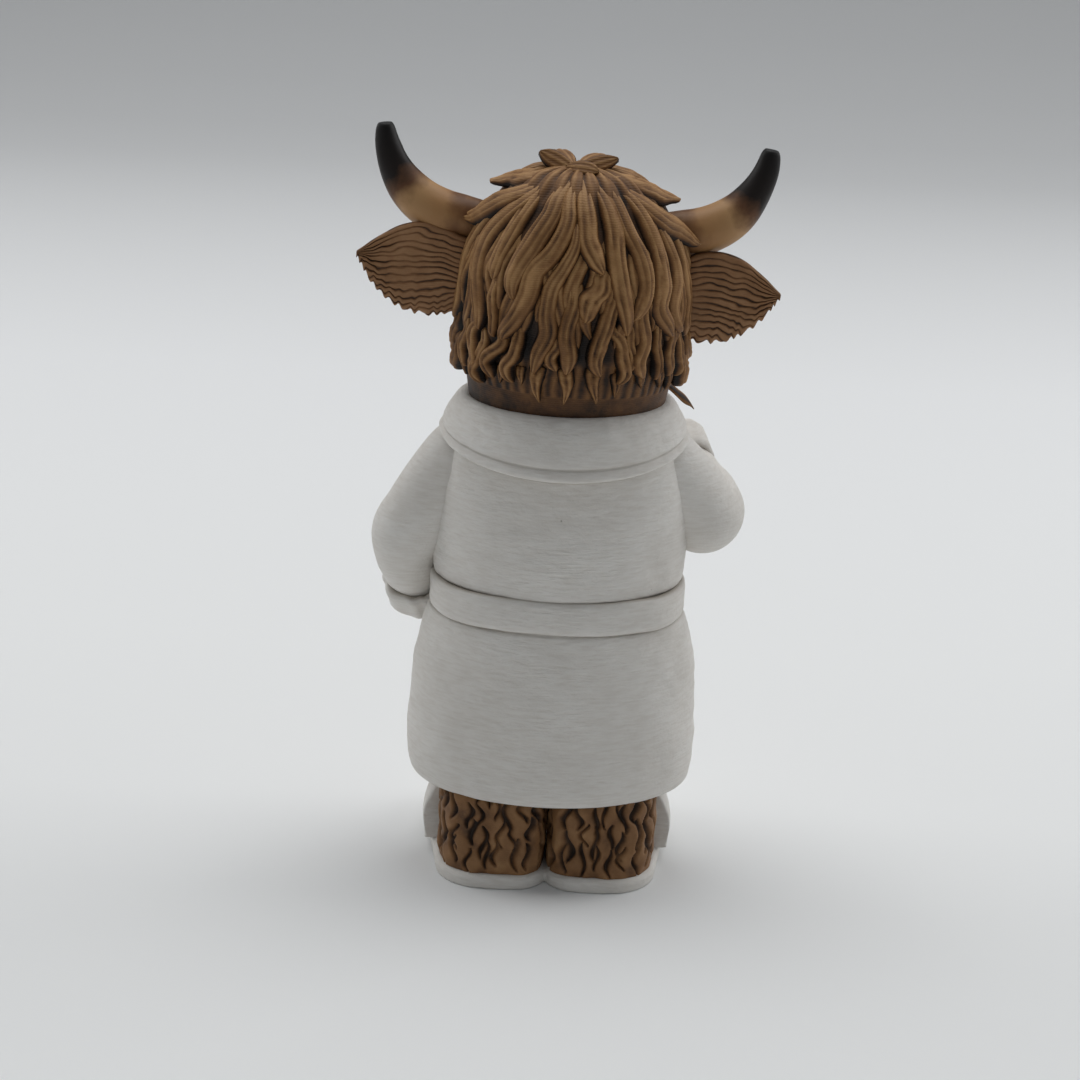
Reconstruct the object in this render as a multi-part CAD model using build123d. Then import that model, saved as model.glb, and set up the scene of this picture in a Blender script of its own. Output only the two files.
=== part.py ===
from build123d import *
from functools import cache
import math
import os

# A painted resin ornament: a long-haired cow that stands in a bathrobe and slippers.
# Lengths are millimetres. +Z is up, the face looks along -Y and the cow's own left is +X.
# The origin is on the ground, in the middle of the figure from left to right.

# Fits
seat_gap = 0.12
hair_gap = 0.3

# Slipper soles
sole_thickness = 2.4
heel_half_width = 9.4
heel_spread = 9.2
heel_back = 15.6
heel_outer_radius = 8.5
heel_inner_radius = 5.5
arch_front = 3.0
toe_radius = 10.1
toe_spread = 11.3
toe_front = 24.0
sole_edge_chamfer = 0.6

# Slipper uppers
slipper_height = 12.0
slipper_back = 1.5
slipper_wall_gap = 0.25

# Legs
leg_spread = 9.2
leg_half_width = 9.0
leg_half_depth = 12.0
leg_middle = 2.9
leg_squareness = 2.6
leg_curl_depth = 1.1
leg_curls = 13

# Pegs that join one casting to the next
peg_width = 5.0
peg_length = 5.0

# Robe
hem_height = 15.8
hem_half_width = 24.1
hem_half_depth = 17.8
hem_wall = 1.2
hem_recess = 4.0
waist_height = 45.3
waist_half_width = 20.0
waist_half_depth = 15.2
chest_half_width = 20.8
chest_half_depth = 16.8
shoulder_height = 79.0
shoulder_half_width = 15.9
shoulder_half_depth = 15.3

# Border down the robe's front edge, below the belt
border_thickness = 0.8
border_width = 7.0
border_low_reach = 6.0
border_high_reach = 3.0

# Belt, its knot and its two hanging ends
belt_height = 5.7
belt_thickness = 1.0
knot_width = 9.0
knot_depth = 3.6
knot_height = 7.2
knot_chamfer = 1.4
belt_end_width = 5.0
belt_end_thickness = 1.5
belt_end_length = 17.0
belt_end_lean_angle = 11

# Shawl collar and its lapels, with heights counted from the shoulders and reaches from the robe
collar_thickness = 0.9
collar_rise = 2.4
collar_wide_drop = 2.0
collar_side_reach = 4.1
collar_back_reach = 3.1
collar_low_drop = 8.5
collar_low_side_reach = 0.8
collar_low_back_reach = 2.6
collar_side_edge_drop = 3.0
collar_back_edge_drop = 6.4
collar_opening = 8.5
lapel_thickness = 1.7
lapel_cross = 3.4
lapel_low_width = 6.8
lapel_bend_share = 0.68
lapel_bend_inset = 6.0
chest_fur_thickness = 0.9
chest_fur_low_share = 0.23
chest_fur_half_width = 12.0

# Neck, which is smaller than the shoulders
neck_inset = 1.0
neck_socket_depth = 5.0

# Left sleeve, which hangs bent towards the pocket. Each centre is given as its reach beyond the chest's side
# and its place from front to back. Its height is a share of the way from the shoulders to the waist.
left_sleeve_places = ((-5.6, 1.0), (-1.0, 0.9), (2.0, 0.2), (4.2, -1.2), (3.9, -4.4), (2.4, -9.0))
left_sleeve_fall_shares = (0.25, 0.404, 0.552, 0.682, 0.843, 0.997)
left_sleeve_radii = (6.6, 6.5, 6.3, 6.1, 5.4, 4.7)

# Right sleeve, folded up at the elbow. Here the last number is the drop below the shoulders.
right_shoulder_place = (-5.6, 1.0, 8.4)
right_elbow_place = (3.0, -3.0, 18.0)
right_wrist_place = (-2.2, -13.8, 10.6)
right_shoulder_radius = 6.5
right_elbow_radius = 6.4
right_wrist_radius = 4.7

# Cuffs
cuff_length = 5.4
cuff_wall = 1.3
cuff_flare = 0.4
cuff_mouth_depth = 2.2

# Pocket that the left hand rests in
pocket_width = 15.0
pocket_height = 13.0
pocket_thickness = 1.3
pocket_middle = 15.5
pocket_drop = 3.0

# Right hoof, held to the chin
hoof_radius = 4.2
hoof_tip_radius = 3.4
hoof_length = 6.6
hoof_cleft = 0.9

# Head, measured over the hair
head_over_shoulders = 15.0
head_half_width = 19.4
head_half_depth = 17.1
head_middle = 1.5
head_rise = 24.2
head_drop = 20.1
head_squareness = 2.7
head_tilt_angle = 1.6
hair_depth = 2.4
skull_sides = 24

# Face, with heights counted from the middle of the head
muzzle_half_width = 10.6
muzzle_half_height = 7.4
muzzle_reach = 9.4
muzzle_drop = 4.8
nostril_radius = 1.4
nostril_spread = 4.8
nostril_rise = 1.6
nostril_depth = 1.5
eye_radius = 2.3
eye_spread = 9.6
eye_rise = 3.8
eye_seat = 2.0
eye_sides = 10

# Horns. Each centre is given as its reach beyond the head's side, its place from front to back and its rise
# over the middle of the head.
horn_places = ((-3.8, 0.0, 14.6), (-0.2, 0.0, 15.0), (3.8, -0.4, 16.5), (7.4, -0.9, 19.5), (9.8, -1.2, 23.6),
               (10.9, -1.2, 28.4))
horn_radii = (3.4, 3.65, 3.6, 3.0, 2.1, 0.8)
horn_sides = 18
horn_pivot_rise = 24.2

# Ears
ear_seat = 3.8
ear_reach = 17.8
ear_rise = 6.0
ear_tilt_angle = 3.4
ear_pivot_rise = 15.6
ear_half_height = 7.05
ear_thickness = 3.2
ear_ridges = 8
ear_ridge_depth = 0.6
ear_sweep = 1.4

# Hair locks
lock_width = 3.5
lock_depth = 2.1
lock_sway = 0.8
nape_lock_width = 3.3
nape_lock_depth = 1.5
cheek_lock_width = 4.4
cheek_lock_depth = 2.0
flick_lift = 3.2
crown_leaf_width = 3.4
crown_leaf_depth = 1.3
crown_lift = 4.2


# Places that follow from the sizes above
belt_top = waist_height + belt_height
head_height = shoulder_height + head_over_shoulders
head_front = head_half_depth - head_middle
neck_half_width = shoulder_half_width - neck_inset
neck_half_depth = shoulder_half_depth - neck_inset
collar_top = shoulder_height + collar_rise
collar_half_width = shoulder_half_width + collar_side_reach
collar_half_depth = shoulder_half_depth + collar_back_reach
pocket_top = waist_height - pocket_drop


# Shapes that several pieces share

def between(first, second, share):
    """The value that lies a share of the way from the first to the second."""
    return first + (second - first) * share


def roundness(angle, squareness):
    """How far out a squarish circle of unit size reaches at an angle. A squareness of 2 is a circle."""
    total = abs(math.sin(angle)) ** squareness + abs(math.cos(angle)) ** squareness
    return total ** (-1 / squareness)


# How many facets go round each kind of form
robe_sides = 48
limb_sides = 24
slipper_sides = 32
tip_sides = 12


def left_limb_point(index):
    """A centre of the left sleeve, counted from the shoulder."""
    reach, along = left_sleeve_places[index]
    height = between(shoulder_height, waist_height, left_sleeve_fall_shares[index])
    return Vector(chest_half_width + reach, along, height)


def right_limb_point(place):
    """A point of the right arm, from its reach beyond the chest, its place front to back and its drop."""
    reach, along, drop = place
    return Vector(-chest_half_width - reach, along, shoulder_height - drop)


def head_side_point(place):
    """A point on the head's left, from its reach beyond the side, its place front to back and its rise."""
    reach, along, rise = place
    return Vector(head_half_width + reach, along, head_height + rise)


def oval(half_width, half_depth, height, sides=robe_sides):
    """The corners of a level oval."""
    corners = []
    for side in range(sides):
        angle = math.tau * side / sides
        corners.append((half_width * math.cos(angle), half_depth * math.sin(angle), height))
    return corners


def ring(centre, run, radius, sides=limb_sides):
    """The corners of a circle square to a run, with its first corner always on the same side."""
    across = run.cross(Vector(0, 1, 0)).normalized()
    along = run.cross(across).normalized()
    corners = []
    for side in range(sides):
        angle = math.tau * side / sides
        corners.append(centre + across * (radius * math.cos(angle)) + along * (radius * math.sin(angle)))
    return corners


def mirrored(shape):
    """The same shape on the cow's right."""
    return mirror(shape, about=Plane.YZ)


def carved(rings):
    """A solid cut in flat facets, through rings that have as many corners each."""
    faces = [Face(Wire.make_polygon(rings[0])), Face(Wire.make_polygon(rings[-1]))]
    for near, far in zip(rings, rings[1:]):
        for index, corner in enumerate(near):
            after = (index + 1) % len(near)
            faces.append(Face(Wire.make_polygon((corner, near[after], far[after]))))
            faces.append(Face(Wire.make_polygon((corner, far[after], far[index]))))
    return Solid(Shell(faces))


def tube(centres, radii, sides=limb_sides):
    """A round limb through centres, each ring square to the limb's run."""
    rings = []
    for index, radius in enumerate(radii):
        before = centres[max(index - 1, 0)]
        after = centres[min(index + 1, len(centres) - 1)]
        rings.append(ring(centres[index], (after - before).normalized(), radius, sides))
    return carved(rings)


ball_rise_shares = (-0.96, -0.8, -0.45, 0.0, 0.45, 0.8, 0.96)


def ball(centre, radius):
    """A faceted ball."""
    rings = []
    for rise_share in ball_rise_shares:
        reach = radius * math.sqrt(1 - rise_share ** 2)
        rings.append(ring(centre + Vector(0, 0, radius * rise_share), Vector(0, 0, 1), reach))
    return carved(rings)


def front_prism(points):
    """A prism through the front half of the figure, from an outline seen from the front."""
    outline = Plane.XZ * Polygon(*points, align=None)
    return extrude(outline, 2 * hem_half_depth, dir=(0, -1, 0))


def tilted(shape, angle=head_tilt_angle, pivot_height=shoulder_height):
    """A piece of the head, tilted towards the cow's right."""
    return shape.rotate(Axis((0, 0, pivot_height), (0, 1, 0)), -angle)


def on_side(shape, side):
    """A left piece, or its like on the right."""
    return shape if side > 0 else mirrored(shape)


# Slippers and legs

def sole():
    """The left slipper's sole, a narrow heel and a broad toe."""
    inner = heel_spread - heel_half_width + heel_inner_radius
    outer = heel_spread + heel_half_width - heel_outer_radius
    edges = (Pos(toe_spread, toe_radius - toe_front) * Circle(toe_radius)).edges()
    edges += (Pos(outer, heel_back - heel_outer_radius) * Circle(heel_outer_radius)).edges()
    edges += (Pos(inner, heel_back - heel_inner_radius) * Circle(heel_inner_radius)).edges()
    edges += (Pos(inner, -arch_front) * Circle(heel_inner_radius)).edges()
    plate = extrude(make_hull(edges), sole_thickness)
    return chamfer(plate.edges().group_by(Axis.Z)[-1], sole_edge_chamfer)


def soles():
    """Both soles, cast as one plate that meets between the heels."""
    return sole() + mirrored(sole())


slipper_height_shares = (0.0, 0.35, 0.7, 0.9, 1.0)
slipper_size_shares = (1.0, 1.0, 0.9, 0.7, 0.4)


def slipper():
    """The left slipper's upper: a round toe cap that the leg stands in."""
    middle = slipper_back - toe_radius / 2
    rings = []
    for height_share, size_share in zip(slipper_height_shares, slipper_size_shares):
        rings.append(oval(toe_radius * size_share, (toe_front + middle) * size_share,
                          sole_thickness + slipper_height * height_share, slipper_sides))
    cap = Pos(toe_spread, middle, 0) * carved(rings)
    block = Box(4 * toe_spread, 2 * toe_front, 4 * slipper_height)
    behind = Pos(toe_spread, slipper_back + toe_front) * block
    return cap - behind - leg_column(slipper_wall_gap)


def leg_peg(grow):
    """The square peg on the left leg that plugs into the robe."""
    side = peg_width + 2 * grow
    peg = Box(side, side, peg_length + grow, align=(Align.CENTER, Align.CENTER, Align.MIN))
    return Pos(leg_spread, leg_middle, hem_height + hem_recess - seat_gap) * peg


leg_sway_shares = (0.0, 0.9, 1.1, 0.2, -0.5, 0.1)
leg_size_shares = (0.98, 0.99, 1.0, 0.99, 0.95, 0.9)


def leg_ring(height, sway_share, size_share):
    """One level of the left leg's curly coat: ridges and grooves round an oval."""
    points = []
    for index in range(2 * leg_curls):
        angle = math.tau * (index + sway_share) / (2 * leg_curls)
        groove = leg_curl_depth * (index % 2)
        reach = roundness(angle, leg_squareness)
        across = (leg_half_width * size_share - groove) * reach * math.sin(angle)
        along = (leg_half_depth * size_share - groove) * reach * math.cos(angle)
        points.append((leg_spread + across, leg_middle + along, height))
    return points


leg_column_sides = 24


def leg_column(grow):
    """The squarish column that the left leg's coat fills."""
    points = []
    for side in range(leg_column_sides):
        angle = math.tau * side / leg_column_sides
        reach = roundness(angle, leg_squareness)
        across = (leg_half_width + grow) * reach * math.sin(angle)
        along = (leg_half_depth + grow) * reach * math.cos(angle)
        points.append((leg_spread + across, leg_middle + along))
    return extrude(Polygon(*points, align=None), hem_height + hem_recess, dir=(0, 0, 1))


def leg():
    """The left leg: a coat of wavy curls from the sole up to the recess under the robe."""
    high = hem_height + hem_recess - seat_gap
    last = len(leg_sway_shares) - 1
    rings = []
    for index, sway_share in enumerate(leg_sway_shares):
        height = between(sole_thickness, high, index / last)
        rings.append(leg_ring(height, sway_share, leg_size_shares[index]))
    return carved(rings) + leg_peg(0)


# Robe

skirt_height_shares = (0.0, 0.04, 0.12, 0.3, 0.6, 0.8, 0.93, 1.0)
skirt_flare_shares = (0.42, 0.78, 0.97, 1.0, 0.96, 0.76, 0.4, 0.0)

# Each row is one level of the bodice: how high, how wide and how deep, from the waist's or shoulders' size to
# the chest's
bodice_shares = ((0.0, 0.0, 0.0), (0.2, 0.7, 0.6), (0.5, 1.0, 0.95), (0.72, 0.9, 1.0), (0.88, 0.55, 0.8),
                 (1.0, 0.0, 0.0))
bodice_full_share = 0.5


def robe_ring(height, end_half_width, end_half_depth, full_half_width, full_half_depth, shares, grow):
    """One level of the robe, a share of the way from an end's size to the full size."""
    half_width = between(end_half_width, full_half_width, shares[0])
    half_depth = between(end_half_depth, full_half_depth, shares[1])
    return oval(half_width + grow, half_depth + grow, height)


@cache
def robe_form(grow):
    """The robe from its rounded hem over the waist to the shoulders, grown by a thickness."""
    rings = []
    for height_share, flare_share in zip(skirt_height_shares, skirt_flare_shares):
        rings.append(robe_ring(between(hem_height, waist_height, height_share),
                               waist_half_width, waist_half_depth, hem_half_width, hem_half_depth,
                               (flare_share, flare_share), grow))
    for height_share, width_share, depth_share in bodice_shares:
        upper = height_share > bodice_full_share
        rings.append(robe_ring(between(belt_top, shoulder_height, height_share),
                               shoulder_half_width if upper else waist_half_width,
                               shoulder_half_depth if upper else waist_half_depth,
                               chest_half_width, chest_half_depth, (width_share, depth_share), grow))
    return carved(rings)


@cache
def belt_band(grow):
    """The straight band round the waist that the belt fills."""
    half_width = waist_half_width + belt_thickness + grow
    half_depth = waist_half_depth + belt_thickness + grow
    return carved([oval(half_width, half_depth, waist_height - grow),
                   oval(half_width, half_depth, belt_top + grow)])


@cache
def neck(grow):
    """The plain oval neck that plugs into the robe."""
    low = shoulder_height - neck_socket_depth - grow
    high = head_height - head_drop / 2
    return carved([oval(neck_half_width + grow, neck_half_depth + grow, low),
                   oval(neck_half_width + grow, neck_half_depth + grow, high)])


def robe():
    """The robe's body in one, hollowed under the hem."""
    hollow = (hem_half_width - hem_wall, hem_half_depth - hem_wall)
    recess = carved([oval(*hollow, 0), oval(*hollow, hem_height + hem_recess)])
    sockets = leg_peg(seat_gap) + mirrored(leg_peg(seat_gap))
    return robe_form(0) - recess - sockets - tilted(neck(seat_gap))


def front_border():
    """The flat border down the front edge of the robe, from the belt to the hem."""
    high = waist_height - seat_gap
    outline = ((border_low_reach, 0), (border_high_reach, high),
               (border_high_reach - border_width, high), (border_low_reach - border_width, 0))
    return (robe_form(border_thickness) - robe_form(0)) & front_prism(outline)


@cache
def pocket():
    """The patch pocket on the left of the skirt."""
    near = pocket_middle - pocket_width / 2
    far = pocket_middle + pocket_width / 2
    low = pocket_top - pocket_height
    outline = ((near, low), (far, low), (far, pocket_top), (near, pocket_top))
    return (robe_form(pocket_thickness) - robe_form(0)) & front_prism(outline)


# Belt

def belt():
    """The belt, tied round the waist."""
    return belt_band(0) - robe_form(0)


@cache
def belt_knot():
    """The knot at the front of the belt."""
    block = chamfer(Box(knot_width, knot_depth, knot_height).edges(), knot_chamfer)
    back = waist_half_depth + belt_thickness + seat_gap
    return Pos(0, -back - knot_depth / 2, (waist_height + belt_top) / 2) * block


def belt_end(lean):
    """One end of the belt, hanging from the knot over the skirt."""
    strip = Box(belt_end_width, belt_end_thickness, belt_end_length,
                align=(Align.CENTER, Align.MAX, Align.MAX))
    across = math.copysign(belt_end_width / 2 + seat_gap, -lean)
    back = hem_half_depth + border_thickness + seat_gap
    return Pos(across, -back, waist_height) * Rot(0, lean, 0) * strip - belt_knot()


# Shawl collar

collar_height_shares = (0.0, 0.4, 0.75, 1.0)
collar_size_shares = (1.0, 0.82, 0.5, 0.0)


def collar_envelope():
    """The outer form of the turned-down collar, all the way round."""
    rings = [oval(chest_half_width + collar_low_side_reach, chest_half_depth + collar_low_back_reach,
                  shoulder_height - collar_low_drop)]
    for height_share, size_share in zip(collar_height_shares, collar_size_shares):
        rings.append(oval(between(shoulder_half_width + collar_thickness, collar_half_width, size_share),
                          between(shoulder_half_depth + collar_thickness, collar_half_depth, size_share),
                          between(shoulder_height - collar_wide_drop, collar_top, height_share)))
    return carved(rings)


@cache
def collar():
    """The back and sides of the shawl collar, lower at the back than at the sides."""
    slope = math.degrees(math.atan2(collar_back_edge_drop - collar_side_edge_drop, collar_half_depth))
    block = Box(4 * collar_half_width, 4 * collar_half_width, shoulder_height,
                align=(Align.CENTER, Align.CENTER, Align.MAX))
    below = Pos(0, 0, shoulder_height - collar_side_edge_drop) * Rot(-slope, 0, 0) * block
    slot = Box(2 * collar_opening, 2 * collar_half_depth, collar_top)
    front = Pos(0, -collar_half_depth, collar_top) * slot
    return collar_envelope() - below - front - tilted(neck(seat_gap)) - robe_form(0)


def lapel_prism():
    """A prism through the left lapel, from the collar's side down across the chest to the belt."""
    low = belt_top + seat_gap
    bend = between(belt_top, shoulder_height, lapel_bend_share)
    bend_half_width = chest_half_width - lapel_bend_inset
    middle = (low + bend) / 2
    outline = ((collar_half_width, shoulder_height - collar_side_edge_drop),
               (bend_half_width, bend),
               (between(lapel_low_width, bend_half_width, 1 / 2) - lapel_cross, middle),
               (lapel_low_width - lapel_cross, low),
               (-lapel_cross, low),
               (between(-lapel_cross, collar_opening, 1 / 2), middle),
               (collar_opening, collar_top))
    return front_prism(outline)


def lapel(prism):
    """The part of the lapels' layer that lies in a prism."""
    return ((robe_form(lapel_thickness) - robe_form(0)) & prism) - collar() - belt_knot()


def left_lapel():
    """The left lapel, which lies over the right one."""
    return lapel(lapel_prism())


@cache
def right_lapel():
    """The right lapel, which ends at the left one."""
    return lapel(mirrored(lapel_prism())) - lapel_prism()


def chest_fur():
    """The V of fur between the lapels."""
    low = between(belt_top, shoulder_height, chest_fur_low_share)
    outline = ((-chest_fur_half_width, collar_top), (chest_fur_half_width, collar_top), (0, low))
    sheet = (robe_form(chest_fur_thickness) - robe_form(0)) & front_prism(outline)
    return sheet - lapel_prism() - mirrored(lapel_prism()) - collar()


# Sleeves

@cache
def robe_skin():
    """The space that the robe and its belt take up."""
    return robe_form(seat_gap) + belt_band(seat_gap)


def seated_on_robe(limb):
    """A limb hollowed where it lies against the robe, the belt, the collar, a lapel or the pocket."""
    return limb - robe_skin() - collar() - right_lapel() - pocket()


def left_sleeve():
    """The left sleeve, bent forward at the elbow towards the pocket."""
    centres = [left_limb_point(index) for index in range(len(left_sleeve_places))]
    return seated_on_robe(tube(centres, left_sleeve_radii))


def right_sleeve():
    """The right sleeve, folded up at the elbow towards the chin."""
    shoulder = right_limb_point(right_shoulder_place)
    elbow = right_limb_point(right_elbow_place)
    wrist = right_limb_point(right_wrist_place)
    upper = tube((shoulder, elbow), (right_shoulder_radius, right_elbow_radius))
    lower = tube((elbow, wrist), (right_elbow_radius, right_wrist_radius))
    return seated_on_robe(upper + ball(elbow, right_elbow_radius) + lower)


def cuff(before, wrist, radius):
    """The turned-back cuff round the end of a sleeve, open at the end."""
    run = (wrist - before).normalized()
    low = wrist - run * (cuff_length - cuff_mouth_depth)
    high = low + run * cuff_length
    inner = radius + cuff_flare
    band = carved([ring(low, run, inner + cuff_wall), ring(high, run, inner + cuff_wall + cuff_flare)])
    return seated_on_robe(band - carved([ring(low, run, inner), ring(high, run, inner)]))


def hoof():
    """The right hoof, just out of its cuff, with its cleft."""
    wrist = right_limb_point(right_wrist_place)
    run = (wrist - right_limb_point(right_elbow_place)).normalized()
    low = wrist + run * seat_gap
    tip = low + run * hoof_length
    block = carved([ring(low, run, hoof_radius, tip_sides), ring(tip, run, hoof_tip_radius, tip_sides)])
    cleft = Plane(origin=tip, z_dir=run) * Box(2 * hoof_radius, hoof_cleft, hoof_length)
    return seated_on_robe(block - cleft)


# Head

def scalp(turn, fall, lift):
    """A point on the head: turned from the back towards the left, and down from the crown, in degrees."""
    reach = roundness(math.radians(fall), head_squareness)
    sine = math.sin(math.radians(fall))
    cosine = math.cos(math.radians(fall))
    half_height = head_rise if cosine > 0 else head_drop
    return Vector(
        (head_half_width + lift) * reach * sine * math.sin(math.radians(turn)),
        (head_half_depth + lift) * reach * sine * math.cos(math.radians(turn)) + head_middle,
        (half_height + lift) * reach * cosine + head_height)


scalp_step_angle = 1


def scalp_normal(turn, fall):
    """The way straight out of the head at that point."""
    down = scalp(turn, fall + scalp_step_angle, 0) - scalp(turn, fall - scalp_step_angle, 0)
    side = scalp(turn + scalp_step_angle, fall, 0) - scalp(turn - scalp_step_angle, fall, 0)
    return side.cross(down).normalized()


skull_fall_angles = (124, 114, 102, 90, 78, 66, 54, 42, 30, 16)


@cache
def skull():
    """The head under its hair."""
    turns = [math.degrees(math.tau * side / skull_sides) for side in range(skull_sides)]
    return carved([[scalp(turn, fall, -hair_depth) for turn in turns] for fall in skull_fall_angles])


muzzle_reach_shares = (0.0, 0.35, 0.75, 0.93, 1.0)
muzzle_size_shares = (0.86, 0.9, 1.0, 0.86, 0.6)
muzzle_sides = 24


def muzzle():
    """The broad muzzle, with its two nostrils."""
    back = head_front - 2 * hair_depth
    front = head_front + muzzle_reach
    height = head_height - muzzle_drop
    rings = []
    for reach_share, size_share in zip(muzzle_reach_shares, muzzle_size_shares):
        ring = []
        for side in range(muzzle_sides):
            angle = math.tau * side / muzzle_sides
            across = muzzle_half_width * size_share * math.cos(angle)
            up = muzzle_half_height * size_share * math.sin(angle)
            ring.append((across, -between(back, front, reach_share), height + up))
        rings.append(ring)
    snout = carved(rings) - skull() - neck(0)
    for side in (-1, 1):
        mouth = Plane(origin=(side * nostril_spread, -front, height + nostril_rise), z_dir=(0, 1, 0))
        snout -= extrude(mouth * RegularPolygon(nostril_radius, tip_sides), nostril_depth)
    return snout


eye_size_shares = (0.45, 0.85, 1.0, 0.8)
eye_reach_shares = (0.9, 0.55, 0.0, -0.6)


def eye():
    """The left eye, a bead set into the skull."""
    rings = []
    for size_share, reach_share in zip(eye_size_shares, eye_reach_shares):
        ring = []
        for side in range(eye_sides):
            angle = math.tau * side / eye_sides
            across = eye_spread + eye_radius * size_share * math.cos(angle)
            up = head_height + eye_rise + eye_radius * size_share * math.sin(angle)
            ring.append((across, eye_seat - head_front - eye_radius * reach_share, up))
        rings.append(ring)
    return carved(rings) - skull()


@cache
def horn(side):
    """The horn on one side, swept out and up to a blunt tip."""
    form = tube([head_side_point(place) for place in horn_places], horn_radii, horn_sides)
    return tilted(on_side(form, side), pivot_height=head_height + horn_pivot_rise) - tilted(skull())


ear_reach_shares = (0.0, 0.22, 0.5, 0.72, 0.87, 1.0)
ear_top_shares = (0.78, 0.84, 1.0, 0.86, 0.56, 0.24)
ear_low_shares = (0.98, 1.0, 0.97, 0.76, 0.36, -0.06)
ear_body_shares = (1.0, 0.95, 0.8, 0.6, 0.42, 0.25)
ear_edge_share = 0.35
ear_front_share = 0.1
ear_hollow_share = 0.3
ear_front_steps = 4


def ear_ring(index):
    """One upright slice of the left ear: ridges over the back and a hollow in front."""
    across = head_half_width - ear_seat + ear_reach * ear_reach_shares[index]
    top = head_height + ear_rise + ear_half_height * ear_top_shares[index]
    low = head_height + ear_rise - ear_half_height * ear_low_shares[index]
    body = ear_thickness * ear_body_shares[index]
    middle = head_middle + ear_sweep * ear_reach_shares[index]
    points = []
    for step in range(2 * ear_ridges + 1):
        share = step / (2 * ear_ridges)
        groove = ear_ridge_depth * ear_body_shares[index] * (step % 2)
        thickness = body * between(ear_edge_share, 1, math.sin(math.pi * share)) - groove
        points.append((across, middle + thickness, between(low, top, share)))
    for step in range(ear_front_steps + 1):
        share = step / ear_front_steps
        hollow = body * ear_hollow_share * math.sin(math.pi * share) - body * ear_front_share
        points.append((across, middle + hollow, between(top, low, share)))
    return points


def ear(side):
    """The ear on one side: a broad leaf with ridges that fan out from its root."""
    form = carved([ear_ring(index) for index in range(len(ear_reach_shares))])
    leaf = tilted(on_side(form, side), ear_tilt_angle, head_height + ear_pivot_rise)
    return leaf - tilted(skull()) - horn(side)


# Hair

lock_across_shares = (-0.5, -0.3, 0.0, 0.3, 0.5)
lock_out_shares = (0.0, 0.75, 1.0, 0.75, 0.0)
lock_swing_angle = 430
ragged_step_angle = 137


def lock(turn, fall_from, fall_to, width, depth, shape, lift=0, sway=0, phase=0):
    """One lock of hair down the head. It sways from side to side as it falls, and its shape is a table with
    a width share, a depth share and a lift share for each ring."""
    last = len(shape) - 1
    places = []
    for index in range(last + 1):
        share = index / last
        fall = between(fall_from, fall_to, share)
        reach = scalp(90, fall, 0).X
        swing = math.degrees(sway / reach) * math.sin(math.radians(phase + lock_swing_angle * share))
        places.append((turn + swing, fall))
    rings = []
    for index, (width_share, depth_share, lift_share) in enumerate(shape):
        before = places[max(index - 1, 0)]
        after = places[min(index + 1, last)]
        out = scalp_normal(*places[index])
        across = (scalp(*after, 0) - scalp(*before, 0)).cross(out).normalized()
        seat = scalp(*places[index], hair_gap - hair_depth) + out * (lift * lift_share)
        ring = []
        for across_share, out_share in zip(lock_across_shares, lock_out_shares):
            ring.append(seat + across * (width * width_share * across_share)
                        + out * (depth * depth_share * out_share))
        rings.append(ring)
    return carved(rings)


def lock_row(count, turns, falls, ragged_angle, width, depth, shape, lift=0, sway=0, phases=(0, 0)):
    """A row of locks side by side, whose ends are ragged by a few degrees."""
    locks = []
    for index in range(count):
        turn = between(*turns, index / (count - 1))
        end = falls[1] + ragged_angle * math.sin(math.radians(ragged_step_angle * index + phases[0]))
        locks.append(lock(turn, falls[0], end, width, depth, shape, lift, sway, phases[0] + phases[1] * index))
    return Compound(children=locks)


# Each row of a shape table is one ring of a lock: its width, its depth and how far it lifts off the head
long_lock_shares = ((0.34, 0.8, 0.5), (0.62, 0.95, 0.25), (0.84, 1.0, 0.0), (0.96, 1.0, 0.05),
                    (1.0, 1.0, 0.35), (0.92, 0.9, 0.8), (0.5, 0.45, 1.0))
lower_lock_shares = ((0.6, 0.1, 0.0), (0.95, 0.25, 0.0), (1.0, 0.7, 0.0), (0.95, 1.0, 0.1), (0.4, 0.5, 0.2))
nape_lock_shares = ((0.8, 0.3, 0.0), (1.0, 1.0, 0.0), (0.2, 0.4, 0.2))
leaf_shares = ((0.3, 0.5, 0.0), (1.0, 1.0, 0.2), (0.85, 0.8, 0.7), (0.15, 0.3, 1.0))

# Where the locks lie, in degrees: a turn is counted from the back of the head, a fall from the crown
upper_turn_angle = 71
upper_fall_angles = (20, 77)
lower_turn_angle = 66
lower_fall_angles = (66, 104)
nape_turn_angle = 72
nape_fall_angles = (107, 119)
fringe_turn_angles = (128, 232)
fringe_fall_angles = (20, 70)
crown_fall_angle = 3
crown_leaf_angles = ((-150, 17), (-76, 19), (-24, 14), (70, 19), (140, 17))
flick_fall_angle = 20
flick_lock_angles = ((86, 43), (102, 45))
cheek_lock_angles = ((86, 99, 110), (100, 99, 114), (114, 70, 117), (128, 74, 112))

# How many locks each row has, by how many degrees their ends are ragged, and where their sway begins
upper_locks = 13
upper_ragged_angle = 5
upper_phase_angles = (40, 14)
lower_locks = 12
lower_ragged_angle = 3
lower_phase_angles = (120, 20)
nape_locks = 13
nape_ragged_angle = 1
fringe_locks = 9
fringe_ragged_angle = 4
fringe_phase_angles = (200, 14)


def hair_upper():
    """The top layer: long wavy locks from the crown down over the back."""
    return lock_row(upper_locks, (-upper_turn_angle, upper_turn_angle), upper_fall_angles, upper_ragged_angle,
                    lock_width, lock_depth, long_lock_shares, lift=lock_depth / 2, sway=lock_sway,
                    phases=upper_phase_angles)


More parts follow.
